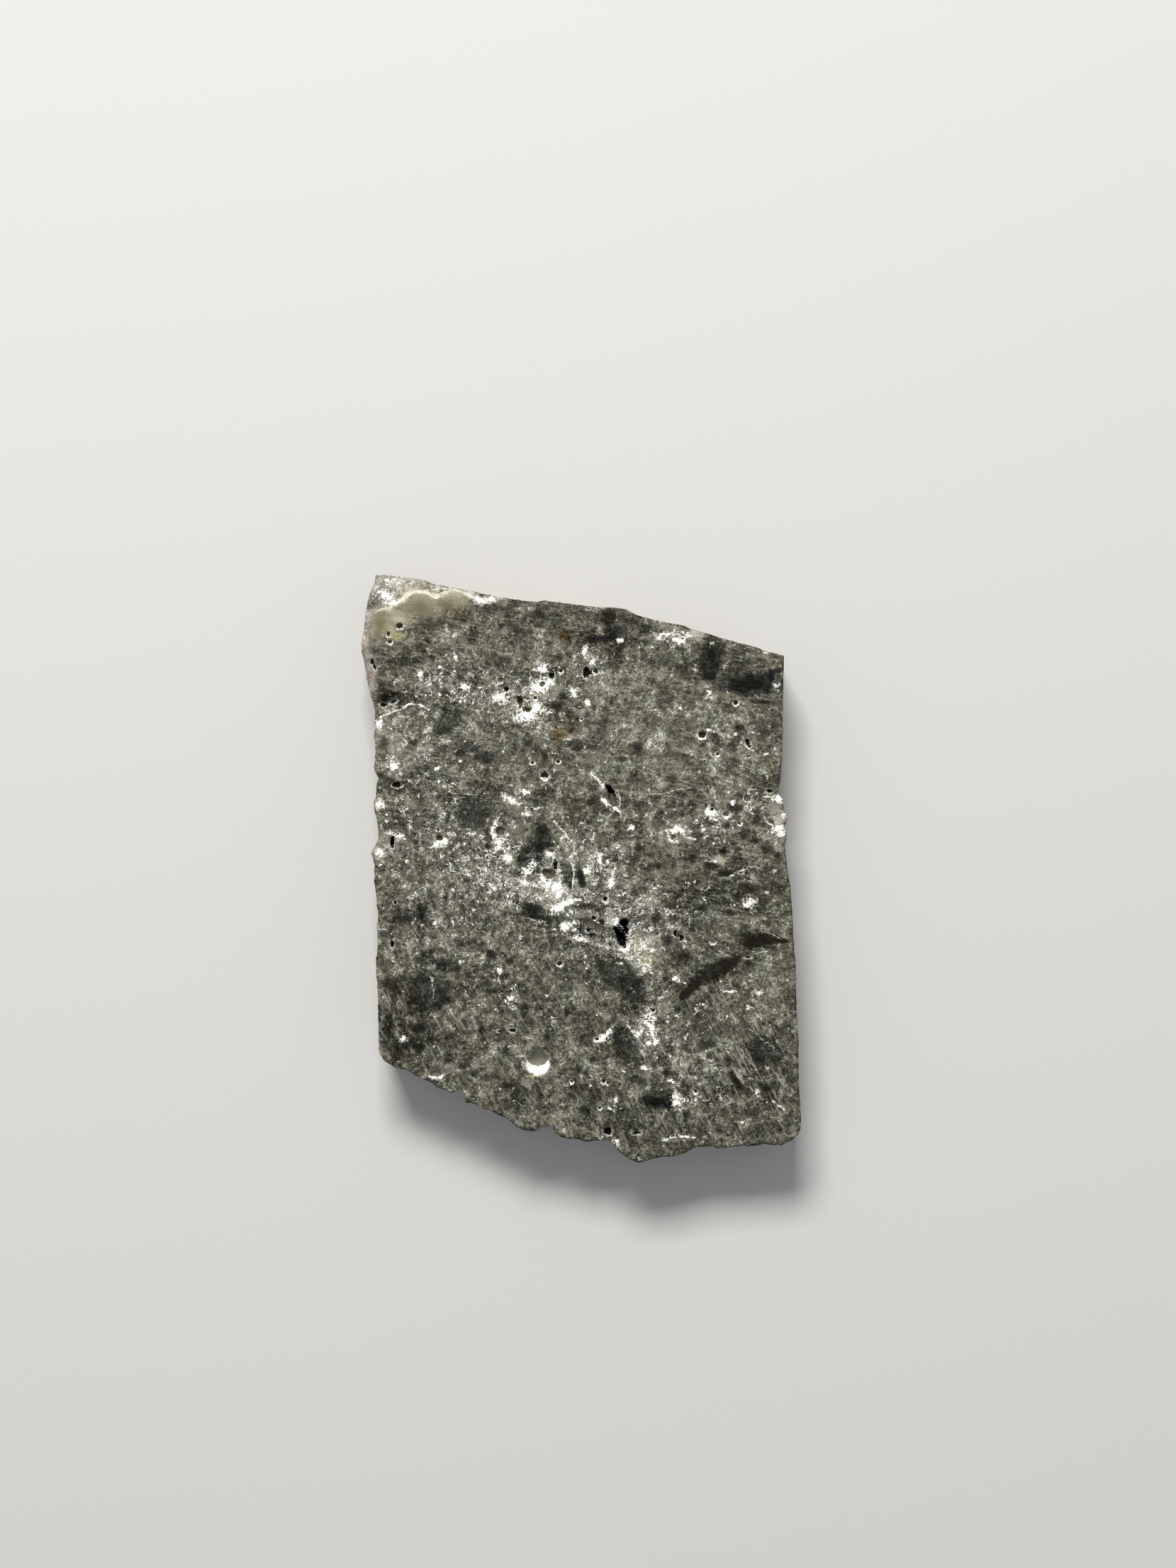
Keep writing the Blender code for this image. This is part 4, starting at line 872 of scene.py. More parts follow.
white_sizes = [min(spot[2], spot[3]) for spot in WHITE_SPOTS] + [streak[0] for streak in WHITE_STREAKS]
white_strength = np.minimum(STRENGTH[0] + STRENGTH[1] * np.array(white_sizes), STRENGTH[2])
dark_glass = np.repeat(GLASS_COVER, [len(DARK_SPOTS), len(BLACK_LENS), len(DARK_STREAKS)])
olive = spots(OLIVE_SPOTS)
face_vectors = {
    "pit place": pit_local,
    "pit look": pit_looks[pit_number],
    "white place": white_local,
    "dark place": dark_local,
}
pit_sizes = np.array([min(pit[2], pit[3]) for pit in all_pits])
face_marks = {
    "dark glass": dark_glass[dark_number],
    "white strength": white_strength[white_number],
    "border": border_of_lobes(olive),
    "brown": spots(BROWN_SPOTS),
    "blue": spots(BLUE_SPOTS),
    "olive": olive,
    "core": spots(OLIVE_CORES),
    "yellow": spots(YELLOW_SPOTS),
    "rust": spots(RUST_SPOTS),
    "pale": spots(PALE_SPOTS),
    "specks": SPECK_BASE + clouds(SPECK_CLOUDS),
    "tone": clouds(TONE_CLOUDS),
    "broken": chipped,
    "past chip": np.clip(past_chip, -1.0, 1.0),
    "brushed": BRUSHED_BASE + clouds(BRUSHED_CLOUDS),
    # Where the painted highlight along the chip's ridge may show.
    "ridge": smooth_step(Y, RIDGE_HIGHLIGHT_FROM, RIDGE_HIGHLIGHT_FULL) * (0.45 + 0.5 * lattice_noise(flat_places, 0.25, 53)),
    "mauve": spots(MAUVE_SPOTS),
    "grey": spots(GREY_SPOTS),
    "pit size": pit_sizes[pit_number],
}
print("Lists of marks:", ", ".join(sorted(face_marks)))

# %% [markdown]
# ## The height of the face
# A saw leaves the face flat to a few thousandths of a millimetre, so almost all of its height is
# the pits, the chip and the crumbled rim. Spongy white places have many bubbles too small to
# list, and a little noise, cut off at zero, digs those.

# %% Height of the face
SAWN_GRAIN = 0.004              # heights, depths and widths in millimetres
SPONGE_DEPTH = 0.05
PORE_WIDTH = 0.14
RIM_CRUMBLE = 0.05
RIM_CRUMBLE_REACH = 0.07

from_white = np.hypot(white_local[:, 0], white_local[:, 1])
sponge = smooth_step(1.0 - from_white, -0.8, 0.4)
pores = np.clip(lattice_noise(flat_places, PORE_WIDTH, 71) - 0.25, 0.0, 1.0)
rim_dust = np.exp(-from_edge / RIM_CRUMBLE_REACH)
crumble = rim_dust * RIM_CRUMBLE * (1.0 + rough_noise(flat_places, 0.3, 77))
grain = SAWN_GRAIN * rough_noise(flat_places, 0.12, 79)
Z = thickness - chip_drop - pit_depth - SPONGE_DEPTH * sponge * pores - crumble + grain
Z = np.minimum(Z, thickness)
print(f"The face lies between {Z.min():.2f} and {Z.max():.2f} mm.")

# %% [markdown]
# ## Broken sides
# The sides weren't sawn: they broke, so they are lumpy and step back unevenly under the rim. Every
# point of the rim is carried down to the underside, and pushed in by noise in three octave
# groups: lumps near a millimetre, crags of a quarter and grit of a tenth. Using the place in
# space as the input keeps neighbours together all the way round.

# %% Sides
WALL_ROWS = 22
FOOT_HEIGHT = 0.03
WALL_INSET = 0.05
LUMPS = (0.8, 0.13)             # width and height of the lumps, crags and grit
CRAGS = (0.30, 0.06)
GRIT = (0.10, 0.022)
FOOT_ROUNDING = 0.09
MOST_BULGE = 0.012              # the wall never stands out further than this
RIM_HOLD = 7.0                  # the full push is reached a seventh of the way down
# Bubbles that broke open on the sides: x, y, height, half width, half height, depth.
WALL_PITS = [
    (5.5, 3.6, 1.15, 0.3, 0.25, 0.16), (5.86, -4.3, 0.95, 0.26, 0.34, 0.18),
    (5.6, -0.3, 1.25, 0.2, 0.22, 0.13), (-5.58, 2.95, 0.95, 0.28, 0.26, 0.16),
    (-5.54, -3.3, 1.2, 0.24, 0.3, 0.16), (2.3, 6.64, 1.05, 0.3, 0.26, 0.17),
    (-3.6, 7.64, 0.8, 0.34, 0.24, 0.17), (4.4, -7.54, 1.1, 0.24, 0.28, 0.16),
    (-1.95, -6.85, 1, 0.28, 0.24, 0.16), (0.72, -7.28, 2.05, 0.16, 0.2, 0.16),
]
columns_n, rows_n = ACROSS + 1, ALONG + 1
numbers = np.arange(columns_n * rows_n).reshape(rows_n, columns_n)


def rim_of(grid):
    """The numbers round a grid's edge, anticlockwise from its lower left corner."""
    return np.concatenate([grid[0, :-1], grid[:-1, -1], grid[-1, :0:-1], grid[:0:-1, 0]])


def outward(ring):
    """Directions out of a closed anticlockwise ring, averaged over a few neighbours."""
    along = np.roll(ring, -2, axis=0) - np.roll(ring, 2, axis=0)
    out = np.column_stack([along[:, 1], -along[:, 0]])
    wide = sum(np.roll(out, shift, axis=0) for shift in range(-6, 7))
    return wide / np.linalg.norm(wide, axis=1)[:, None]


face_points = np.column_stack([X, Y, Z])
rim_numbers = rim_of(numbers)
rim = face_points[rim_numbers]
out_of_rim = outward(rim[:, :2])


def bubbles(place):
    """The deepest bowl of WALL_PITS at each place of the wall."""
    depth = np.zeros(len(place))
    for x0, y0, height, half_width, half_height, deepest in WALL_PITS:
        across = np.hypot(place[:, 0] - x0, place[:, 1] - y0) / half_width
        out = np.hypot(across, (place[:, 2] - height) / half_height)
        depth = np.maximum(depth, deepest * np.clip(1.0 - out**2, 0.0, 1.0) ** 0.6)
    return depth


def wall_ring(share):
    """The rim carried down by a share of its height and pushed in by lumps, crags, grit and pits."""
    height = rim[:, 2] * (1 - share) + FOOT_HEIGHT * share
    place = np.column_stack([rim[:, :2], height])
    push = WALL_INSET + LUMPS[1] * rough_noise(place, LUMPS[0], 91, 2)
    push += CRAGS[1] * rough_noise(place, CRAGS[0], 95, 3) + GRIT[1] * rough_noise(place, GRIT[0], 99, 2)
    push = np.maximum(push, -MOST_BULGE) * min(1.0, share * RIM_HOLD)
    push += FOOT_ROUNDING * smooth_step(np.array([share]), 0.8, 1.0) + bubbles(place)
    return np.column_stack([rim[:, :2] - out_of_rim * push[:, None], height])


wall_shares = np.linspace(0.0, 1.0, WALL_ROWS + 1)[1:]
wall = np.array([wall_ring(share) for share in wall_shares])
print(f"The wall has {wall.shape[0]} rings of {wall.shape[1]} points.")

# %% [markdown]
# ## The underside
# The back of a slice is a second sawn face. It is made in the same way on a grid of half as many
# steps, inside the foot of the wall, and its pits go up into the stone.

# %% Underside
BACK_PITS = [
    (-3.4, 4.7, 0.26, 0.2, 30, 0.18), (2.6, 4.1, 0.16, 0.16, 0, 0.12),
    (-1.3, 3.3, 0.14, 0.24, -20, 0.16), (4.1, 0.9, 0.22, 0.18, 10, 0.15),
    (-4.3, -0.6, 0.18, 0.18, 0, 0.13), (2.3, -2.3, 0.28, 0.22, 40, 0.2),
    (-2.3, -3.4, 0.13, 0.13, 0, 0.11), (4.6, -5.1, 0.17, 0.24, 0, 0.15),
    (0.4, -5.7, 0.2, 0.16, 15, 0.14), (-3.1, 1.7, 0.12, 0.12, 0, 0.1),
]


def split_ring(ring, across, along):
    """Cuts a closed ring into its bottom, right, top and left sides, each with both corners."""
    closed = np.vstack([ring, ring[:1]])
    a, b, c = across, across + along, 2 * across + along
    return closed[:a + 1], closed[a:b + 1], closed[b:c + 1][::-1], closed[c:][::-1]


foot = wall[-1][::2, :2]
foot_sides = split_ring(foot, ACROSS // 2, ALONG // 2)
back_xy = sheet_between(foot_sides[0], foot_sides[2], foot_sides[3], foot_sides[1])
BX, BY = back_xy[..., 0].ravel(), back_xy[..., 1].ravel()
back_flat = np.column_stack([BX, BY, np.full(len(BX), 7.0)])
back_depth = dig(back_flat, BACK_PITS, 500)
back_points = np.column_stack([BX, BY, back_depth])
back_marks = {
    "specks": 0.5 + 0.3 * rough_noise(back_flat, 2.5, 61),
    "tone": 0.3 * rough_noise(back_flat, 3.0, 63),
    "brushed": 0.6 + 0.4 * rough_noise(back_flat, 4.0, 67),
}
print(f"The underside has {len(BX)} points.")

# %% [markdown]
# ## One closed skin
# The face, the wall and the underside share their edge points, so the skin has no seam to
# open. Where the wall's full count of points meets the underside's half count, each pair of
# steps is closed with three triangles. The UV map lays the face out largest.

# %% Join the skin
UV_SIDE = 20.0                  # millimetres of stone across the square map
FACE_MIDDLE = (6.1, 8.2)        # where the map shows the origin on the face
BACK_MIDDLE = (16.1, 6.0)       # and on the underside
BACK_SHRINK = 0.6
WALL_TALL = 2.2
WALL_SHRINK = 0.7
STRIP_TOP = 18.0                # of the lower of the wall's two strips
STRIP_APART = 1.8
STRIP_MARGIN = 0.2
rim_count = len(rim_numbers)
wall_start = len(face_points)
back_start = wall_start + WALL_ROWS * rim_count
skin_points = np.vstack([face_points, wall.reshape(-1, 3), back_points])
skin_points = np.clip(skin_points, np.array(cad_box[0]) / MM, np.array(cad_box[1]) / MM)
back_numbers = back_start + np.arange(len(back_points)).reshape(ALONG // 2 + 1, ACROSS // 2 + 1)


def grid_faces(grid):
    """Four-sided faces of a grid of numbers, anticlockwise seen from +Z."""
    low_left, low_right, high_right, high_left = grid[:-1, :-1], grid[:-1, 1:], grid[1:, 1:], grid[1:, :-1]
    return np.stack([low_left, low_right, high_right, high_left], axis=-1).reshape(-1, 4)


def wall_faces():
    """Four-sided faces between each ring of the wall and the one below it."""
    lower = wall_start + np.arange(WALL_ROWS * rim_count).reshape(WALL_ROWS, rim_count)
    rings = np.vstack([rim_numbers[None], lower])
    after = np.roll(rings, -1, axis=1)
    return np.stack([rings[:-1], rings[1:], after[1:], after[:-1]], axis=-1).reshape(-1, 4)


def foot_faces():
    """Three triangles for each pair of steps, from the last wall ring to the underside."""
    ring = back_start - rim_count + np.arange(rim_count)
    first, middle, last = ring[0::2], ring[1::2], np.roll(ring, -2)[0::2]
    inner = rim_of(back_numbers)
    inner_next = np.roll(inner, -1)
    fan = [(first, inner, middle), (middle, inner, inner_next), (middle, inner_next, last)]
    return np.vstack([np.column_stack(corners) for corners in fan])


quads = np.vstack([grid_faces(numbers), wall_faces(), grid_faces(back_numbers)[:, ::-1]])
triangles = foot_faces()
face_quads = ACROSS * ALONG
wall_quads = WALL_ROWS * rim_count
print(f"{2 * len(quads) + len(triangles)} triangles in the skin.")


def flat_uv(points, middle, shrink):
    """Looks straight down on the points and lays them into the map's square."""
    return (points[..., :2] * shrink + middle) / UV_SIDE


def wall_uv():
    """The wall unrolled: distance round it, in two strips, against distance down it."""
    half = rim_count // 2
    start = np.arange(rim_count)
    down = np.arange(WALL_ROWS)
    step = (UV_SIDE - 2 * STRIP_MARGIN) / half
    place = start % half * step + STRIP_MARGIN
    strip = STRIP_TOP + (start // half) * STRIP_APART
    height = WALL_TALL * WALL_SHRINK / WALL_ROWS
    left = np.broadcast_to(place, (WALL_ROWS, rim_count))
    top = strip[None] - down[:, None] * height
    corners = [(left, top), (left, top - height), (left + step, top - height), (left + step, top)]
    return np.stack([np.stack(c, axis=-1) for c in corners], axis=2).reshape(-1, 4, 2) / UV_SIDE


def skin_uv():
    """UV of every corner of every face, in the order of the faces."""
    top = flat_uv(skin_points[quads[:face_quads]], FACE_MIDDLE, 1.0)
    under = flat_uv(skin_points[quads[face_quads + wall_quads:]], BACK_MIDDLE, BACK_SHRINK)
    rim_band = flat_uv(skin_points[triangles], BACK_MIDDLE, BACK_SHRINK)
    return np.vstack([part.reshape(-1, 2) for part in (top, wall_uv(), under, rim_band)])


def skin_mesh():
    """The mesh of the whole stone, with smooth faces."""
    mesh = bpy.data.meshes.new("stone")
    loops = np.concatenate([quads.ravel(), triangles.ravel()])
    sizes = np.concatenate([np.full(len(quads), 4), np.full(len(triangles), 3)])
    mesh.vertices.add(len(skin_points))
    mesh.vertices.foreach_set("co", (skin_points * MM).ravel())
    mesh.loops.add(len(loops))
    mesh.loops.foreach_set("vertex_index", loops)
    mesh.polygons.add(len(sizes))
    mesh.polygons.foreach_set("loop_start", np.concatenate([[0], np.cumsum(sizes)[:-1]]))
    mesh.update(calc_edges=True)
    finish = np.zeros(len(sizes), int)
    finish[face_quads:face_quads + wall_quads] = 1
    finish[face_quads + wall_quads:len(quads)] = 2
    finish[len(quads):] = 1
    mesh.polygons.foreach_set("material_index", finish)
    mesh.shade_smooth()
    uv_map = mesh.uv_layers.new(name="OFBake")
    uv_map.uv.foreach_set("vector", skin_uv().ravel())
    mesh.validate()
    return mesh


stone = bpy.data.objects.new("stone", skin_mesh())
bpy.context.collection.objects.link(stone)
print(f"The stone has {len(stone.data.polygons)} faces.")

# %% [markdown]
# ## Marks on the mesh
# Each kind of mark goes onto the mesh as an attribute: one number a point for a tint or a zone,
# three for a place within a mark. The wall and the underside have no listed marks, so there every
# tint is absent, and the finish scatters bits of rock by itself.

# %% Attributes
NO_MARK = -1.0
WALL_DEFAULTS = {"specks": 0.55, "tone": 0.0}


def store_marks():
    """Writes every list of marks to the mesh, with plain values on the wall and the back."""
    for name, on_face in face_marks.items():
        on_wall = np.full(WALL_ROWS * rim_count, WALL_DEFAULTS.get(name, NO_MARK))
        on_back = back_marks.get(name, np.full(len(BX), NO_MARK))
        layer = stone.data.attributes.new(name, "FLOAT", "POINT")
        layer.data.foreach_set("value", np.concatenate([on_face, on_wall, on_back]))
    for name, on_face in face_vectors.items():
        elsewhere = np.full((len(skin_points) - len(on_face), 3), LIMBO)
        layer = stone.data.attributes.new(name, "FLOAT_VECTOR", "POINT")
        layer.data.foreach_set("vector", np.vstack([on_face, elsewhere]).ravel())


store_marks()
print(len(stone.data.attributes), "attributes on the mesh.")

# %% [markdown]
# ## Short words for shader nodes
# The finishes below need a few kinds of node again and again. This small board adds a node,
# fills its sockets with numbers or wires, and hands back what comes out, so each recipe reads
# as a list of steps.

# %% Node board


class Board:
    """A node tree with short words for the nodes that this stone needs."""

    def __init__(self, tree):
        self.tree = tree
        self.count = 0

    def put(self, kind, sockets=None, **settings):
        """Adds a node, sets its options, then fills its sockets with numbers or wires."""
        node = self.tree.nodes.new(kind)
        node.location = (self.count // 5 * 220 - 1400, 500 - self.count % 5 * 260)
        self.count += 1
        for name, value in settings.items():
            setattr(node, name, value)
        for name, value in (sockets or {}).items():
            if isinstance(value, bpy.types.NodeSocket):
                self.tree.links.new(value, node.inputs[name])
            else:
                node.inputs[name].default_value = value
        return node

    def math(self, operation, a, b=0.0):
        """One sum on two numbers."""
        return self.put("ShaderNodeMath", {0: a, 1: b}, operation=operation).outputs[0]

    def step(self, value, low, high, out_low=0.0, out_high=1.0):
        """An S-curve from one number to another as the value goes from low to high."""
        sockets = {"Value": value, "From Min": low, "From Max": high, "To Min": out_low, "To Max": out_high}
        return self.put("ShaderNodeMapRange", sockets, interpolation_type="SMOOTHSTEP").outputs[0]

    def mix(self, share, a, b, blend="MIX"):
        """Two colours mixed by a share."""
        node = self.put("ShaderNodeMix", {0: share, 6: a, 7: b}, data_type="RGBA", blend_type=blend)
        return node.outputs[2]

    def mix_number(self, share, a, b):
        """Two numbers mixed by a share."""
        return self.put("ShaderNodeMix", {0: share, 2: a, 3: b}).outputs[0]

    def noise(self, place, scale, detail=3.0, roughness=0.55, distortion=0.0):
        """Cloudy noise from 0 to 1."""
        sockets = {"Vector": place, "Scale": scale, "Detail": detail}
        sockets.update({"Roughness": roughness, "Distortion": distortion})
        return self.put("ShaderNodeTexNoise", sockets).outputs[0]

    def cells(self, place, scale):
        """Crystal-like cells: the distance from each middle, and a random colour for each."""
        return self.put("ShaderNodeTexVoronoi", {"Vector": place, "Scale": scale})

    def ramp(self, value, stops):
        """A colour picked from a list of (position, colour) by a value."""
        node = self.put("ShaderNodeValToRGB", {"Fac": value})
        elements = node.color_ramp.elements
        elements[0].position, elements[0].color = stops[0]
        elements[1].position, elements[1].color = stops[-1]
        for position, colour in stops[1:-1]:
            elements.new(position).color = colour
        return node.outputs[0]

    def parts(self, place):
        """The three numbers of a place, each on its own."""
        return self.put("ShaderNodeSeparateXYZ", {0: place}).outputs

    def length(self, place):
        """How far a place is from (0, 0, 0)."""
        return self.put("ShaderNodeVectorMath", {0: place}, operation="LENGTH").outputs["Value"]

    def mark(self, name):
        """A number that the mesh carries."""
        return self.put("ShaderNodeAttribute", attribute_name=name).outputs["Fac"]

    def place_mark(self, name):
        """A place or three numbers that the mesh carries."""
        return self.put("ShaderNodeAttribute", attribute_name=name).outputs["Vector"]

    def vector(self, operation, a, b=(0.0, 0.0, 0.0)):
        """One sum on two places."""
        return self.put("ShaderNodeVectorMath", {0: a, 1: b}, operation=operation).outputs[0]

    def product(self, *numbers):
        """All the numbers multiplied together."""
        total = numbers[0]
        for number in numbers[1:]:
            total = self.math("MULTIPLY", total, number)
        return total

    def sum(self, *numbers):
        """All the numbers added together."""
        total = numbers[0]
        for number in numbers[1:]:
            total = self.math("ADD", total, number)
        return total

    def centred(self, place, scale, detail=3.0, roughness=0.55, distortion=0.0):
        """Cloudy noise from about -0.5 to 0.5."""
        return self.math("SUBTRACT", self.noise(place, scale, detail, roughness, distortion), 0.5)

    def drift(self, place, scale, detail):
        """A random push, from about -0.5 to 0.5 each way, for outlines that wander."""
        push = self.put("ShaderNodeTexNoise", {"Vector": place, "Scale": scale, "Detail": detail})
        return self.vector("SUBTRACT", push.outputs["Color"], (0.5, 0.5, 0.5))

    def bent(self, place, drift, reach):
        """The place pushed by a drift, as far as the reach."""
        return self.vector("ADD", place, self.vector("MULTIPLY", drift, (reach,) * 3))

    def thread(self, place, scale, width):
        """Thin curved lines, where noise crosses its own middle."""
        away = self.math("ABSOLUTE", self.centred(place, scale, 2.0, 0.5, 0.4))
        return self.step(away, width, width * 0.2)

    def group(self, tree, sockets):
        """Places a group and fills its inputs."""
        return self.put("ShaderNodeGroup", sockets, node_tree=tree).outputs


print("The board's words:", ", ".join(word for word in vars(Board) if not word.startswith("_")))

# %% [markdown]
# ## Groups with named sockets
# An effect that several finishes share is a node group. Its sockets have names, so a finish can
# say what goes in and what comes out, and the recipe itself is written once. Colours are given as
# a paint program shows them, because that is how they are picked.

# %% Groups and colours
KINDS = {"place": "NodeSocketVector", "number": "NodeSocketFloat", "colour": "NodeSocketColor"}


def new_group(name, takes, gives):
    """An empty node group with named inputs and outputs, its board, and its two end nodes."""
    tree = bpy.data.node_groups.new(name, "ShaderNodeTree")
    for label, kind in takes:
        tree.interface.new_socket(name=label, in_out="INPUT", socket_type=KINDS[kind])
    for label, kind in gives:
        tree.interface.new_socket(name=label, in_out="OUTPUT", socket_type=KINDS[kind])
    board = Board(tree)
    return board, board.put("NodeGroupInput").outputs, board.put("NodeGroupOutput")


def give(board, end, **results):
    """Wires results to the group's outputs by name."""
    for name, socket in results.items():
        board.tree.links.new(socket, end.inputs[name.replace("_", " ")])


def tone(red, green, blue):
    """A colour as a paint program shows it, 0 to 255, turned to the linear values of a shader."""
    share = np.array([red, green, blue]) / 255.0
    linear = np.where(share <= 0.04045, share / 12.92, ((share + 0.055) / 1.055) ** 2.4)
    return (*[float(v) for v in linear], 1.0)


print("Middle grey of a paint program is", round(tone(128, 128, 128)[0], 3), "to a shader.")

# %% [markdown]
# ## The ground mass
# Between the bits, the rock is a fine paste of crushed feldspar and glass: olive grey, patchy
# over a millimetre, and grainy down to a hundredth. Under a lens it looks like felt: short pale
# threads on a darker ground. Noise crosses its own middle value along thin curved lines, so
# keeping a narrow band round that value draws the threads.

# %% Ground mass group
GROUND_STOPS = [
    (0.00, tone(16, 15, 10)), (0.22, tone(47, 46, 38)), (0.45, tone(87, 85, 73)),
    (0.68, tone(131, 130, 117)), (1.00, tone(214, 213, 202)),
]
GREEN_TINT = (0.965, 1.01, 0.99, 1.0)
MAUVE_TINT = (1.03, 0.99, 0.97, 1.0)
PATCHES, BLOTCHES, GRAINS, LUMPS_SHARE = 0.56, 0.60, 1.04, 0.55     # share of each in the brightness
COARSE_THREADS, FINE_THREADS = 0.23, 0.19
TONE_SHARE, MIDDLE_TONE = 0.42, 0.338


def ground_group():
    """Brightness = patches + blotches + grains + lumps + threads + tone; a ramp colours it."""
    takes = [("Place", "place"), ("Felt", "place"), ("Tone", "number")]
    gives = [("Colour", "colour"), ("Grains", "number"), ("Lumps", "number"), ("Brightness", "number")]
    board, given, end = new_group("ground mass", takes, gives)
    place, felt = given["Place"], given["Felt"]
    patches = board.centred(place, 0.9, 3.0, 0.6)
    blotches = board.centred(felt, 3.4, 2.0, 0.5)
    grains = board.centred(felt, 10.0, 3.0, 0.60, 1.6)
    lumps = board.centred(felt, 5.5, 3.0, 0.55, 1.4)
    coarse = board.thread(felt, 5.2, 0.045)
    fine = board.thread(felt, 12.5, 0.060)
    where = board.step(blotches, -0.10, 0.10, 0.4, 1.0)
    coarse = board.product(coarse, where, COARSE_THREADS)
    fine = board.product(fine, where, FINE_THREADS)
    bright = board.sum(
        board.product(patches, PATCHES), board.product(blotches, BLOTCHES), board.product(grains, GRAINS),
        board.product(lumps, LUMPS_SHARE), board.sum(coarse, fine),
        board.product(given["Tone"], TONE_SHARE), MIDDLE_TONE)
    grey = board.ramp(bright, GROUND_STOPS)
    hue = board.noise(place, 1.3, 4.0, 0.65)
    tint = board.mix(board.step(hue, 0.40, 0.60), GREEN_TINT, MAUVE_TINT)
    grey = board.mix(1.0, grey, tint, "MULTIPLY")
    give(board, end, Colour=grey, Grains=grains, Lumps=lumps, Brightness=bright)
    return board.tree


GROUND = ground_group()
print(len(GROUND.nodes), "nodes in the ground mass.")

# %% [markdown]
# ## White specks
# Crushed crystals show as short white curls and bright crumbs: partly their own white, partly
# painted glints of light on their facets. The curls are threads cut into pieces by a second noise.
# The crumbs are small random cells whose places are bent, so that none is a perfect dot, and a
# random number per cell decides its size and whether it shows.

# %% Specks groups


def curls_group():
    """Mask = a thin band where noise crosses its middle, kept only where a second is high."""
    takes = [("Place", "place"), ("Amount", "number"), ("Scale", "number")]
    board, given, end = new_group("white curls", takes, [("Mask", "number")])
    place = given["Place"]
    curls = board.math("ABSOLUTE", board.centred(place, given["Scale"], 2.0, 0.5, 1.0))
    line = board.step(curls, 0.040, 0.010)
    breaks = board.noise(place, board.product(given["Scale"], 0.62), 3.0, 0.6)
    level = board.math("SUBTRACT", 0.70, board.product(given["Amount"], 0.24))
    kept = board.step(board.math("SUBTRACT", breaks, level), 0.0, 0.08)
    give(board, end, Mask=board.product(line, kept))
    return board.tree


def crumbs_group():
    """Mask = dots and broken rings of random size in cells picked at random; more with Amount."""
    takes = [("Place", "place"), ("Amount", "number"), ("Scale", "number"), ("Breaks", "number")]
    board, given, end = new_group("white crumbs", takes, [("Mask", "number")])
    dots = board.cells(given["Place"], given["Scale"])
    parts = board.put("ShaderNodeSeparateColor", {0: dots.outputs["Color"]}).outputs
    reach = board.sum(0.08, board.product(parts[0], parts[0], 0.17))
    away = board.math("SUBTRACT", dots.outputs["Distance"], reach)
    dot = board.step(away, 0.05, -0.05)
    arc = board.product(board.step(board.math("ABSOLUTE", away), 0.07, 0.02), given["Breaks"])
    dot = board.mix_number(board.math("GREATER_THAN", parts[2], 0.30), dot, arc)
    level = board.math("SUBTRACT", 0.98, board.product(given["Amount"], 0.55))
    shown = board.step(board.math("SUBTRACT", parts[1], level), 0.0, 0.25)
    give(board, end, Mask=board.product(dot, shown))
    return board.tree


CURLS = curls_group()
CRUMBS = crumbs_group()
print(len(CURLS.nodes), "nodes for curls and", len(CRUMBS.nodes), "for crumbs.")

# %% [markdown]
# ## Scattered bits of older rock
# Only the larger bits of the face are listed. Crystal cells stand in for the small ones,
# and for every bit of the sides and the back: some cells are picked at random to be dark, some
# pale, and bending the place roughens their outlines.

# %% Scattered clasts group


def clasts_group():
    """Masks of random cells whose distance from the bent middle is small enough."""
    takes = [("Place", "place"), ("Scale", "number")]
    board, given, end = new_group("scattered clasts", takes, [("Dark", "number"), ("Pale", "number")])
    cells = board.cells(given["Place"], given["Scale"])
    parts = board.put("ShaderNodeSeparateColor", {0: cells.outputs["Color"]}).outputs
    inside = board.step(cells.outputs["Distance"], 0.46, 0.28)
    dark = board.product(inside, board.math("GREATER_THAN", parts[0], 0.66))
    pale = board.product(inside, board.math("LESS_THAN", parts[0], 0.16))
    give(board, end, Dark=dark, Pale=pale)
    return board.tree


CLASTS = clasts_group()
print(len(CLASTS.nodes), "nodes for scattered clasts.")

# %% [markdown]
# ## Pits and feldspar, drawn at full sharpness
# These three groups take the place within a mark that the mesh carries. Its length is 1 on the
# mark's outline. A pit's place is bent a little by noise, so a bubble stays nearly round. The
# length of a white or dark mark has much coarser noises added to it, so a patch of feldspar
# becomes a lace of crumbs, and dark glass frays out into the rock.

# %% Pit, feldspar and dark glass groups
RIM_WIDTH = 0.020               # of the pale ring round a bubble, in millimetres
PIT_WANDER = 0.14               # width of the band in which a pit's outline strays, in millimetres
MOST_WANDER = 1.7               # and at most, in half widths of the pit
FELDSPAR_FALL = 0.88            # how fast the nearness falls with the distance
FELDSPAR_LUMPS, FELDSPAR_CRUMBS, FELDSPAR_LACE = 2.4, 2.2, 0.50
DARK_FRAY = 2.2                 # how much the crumbs and the edge noise fray dark glass


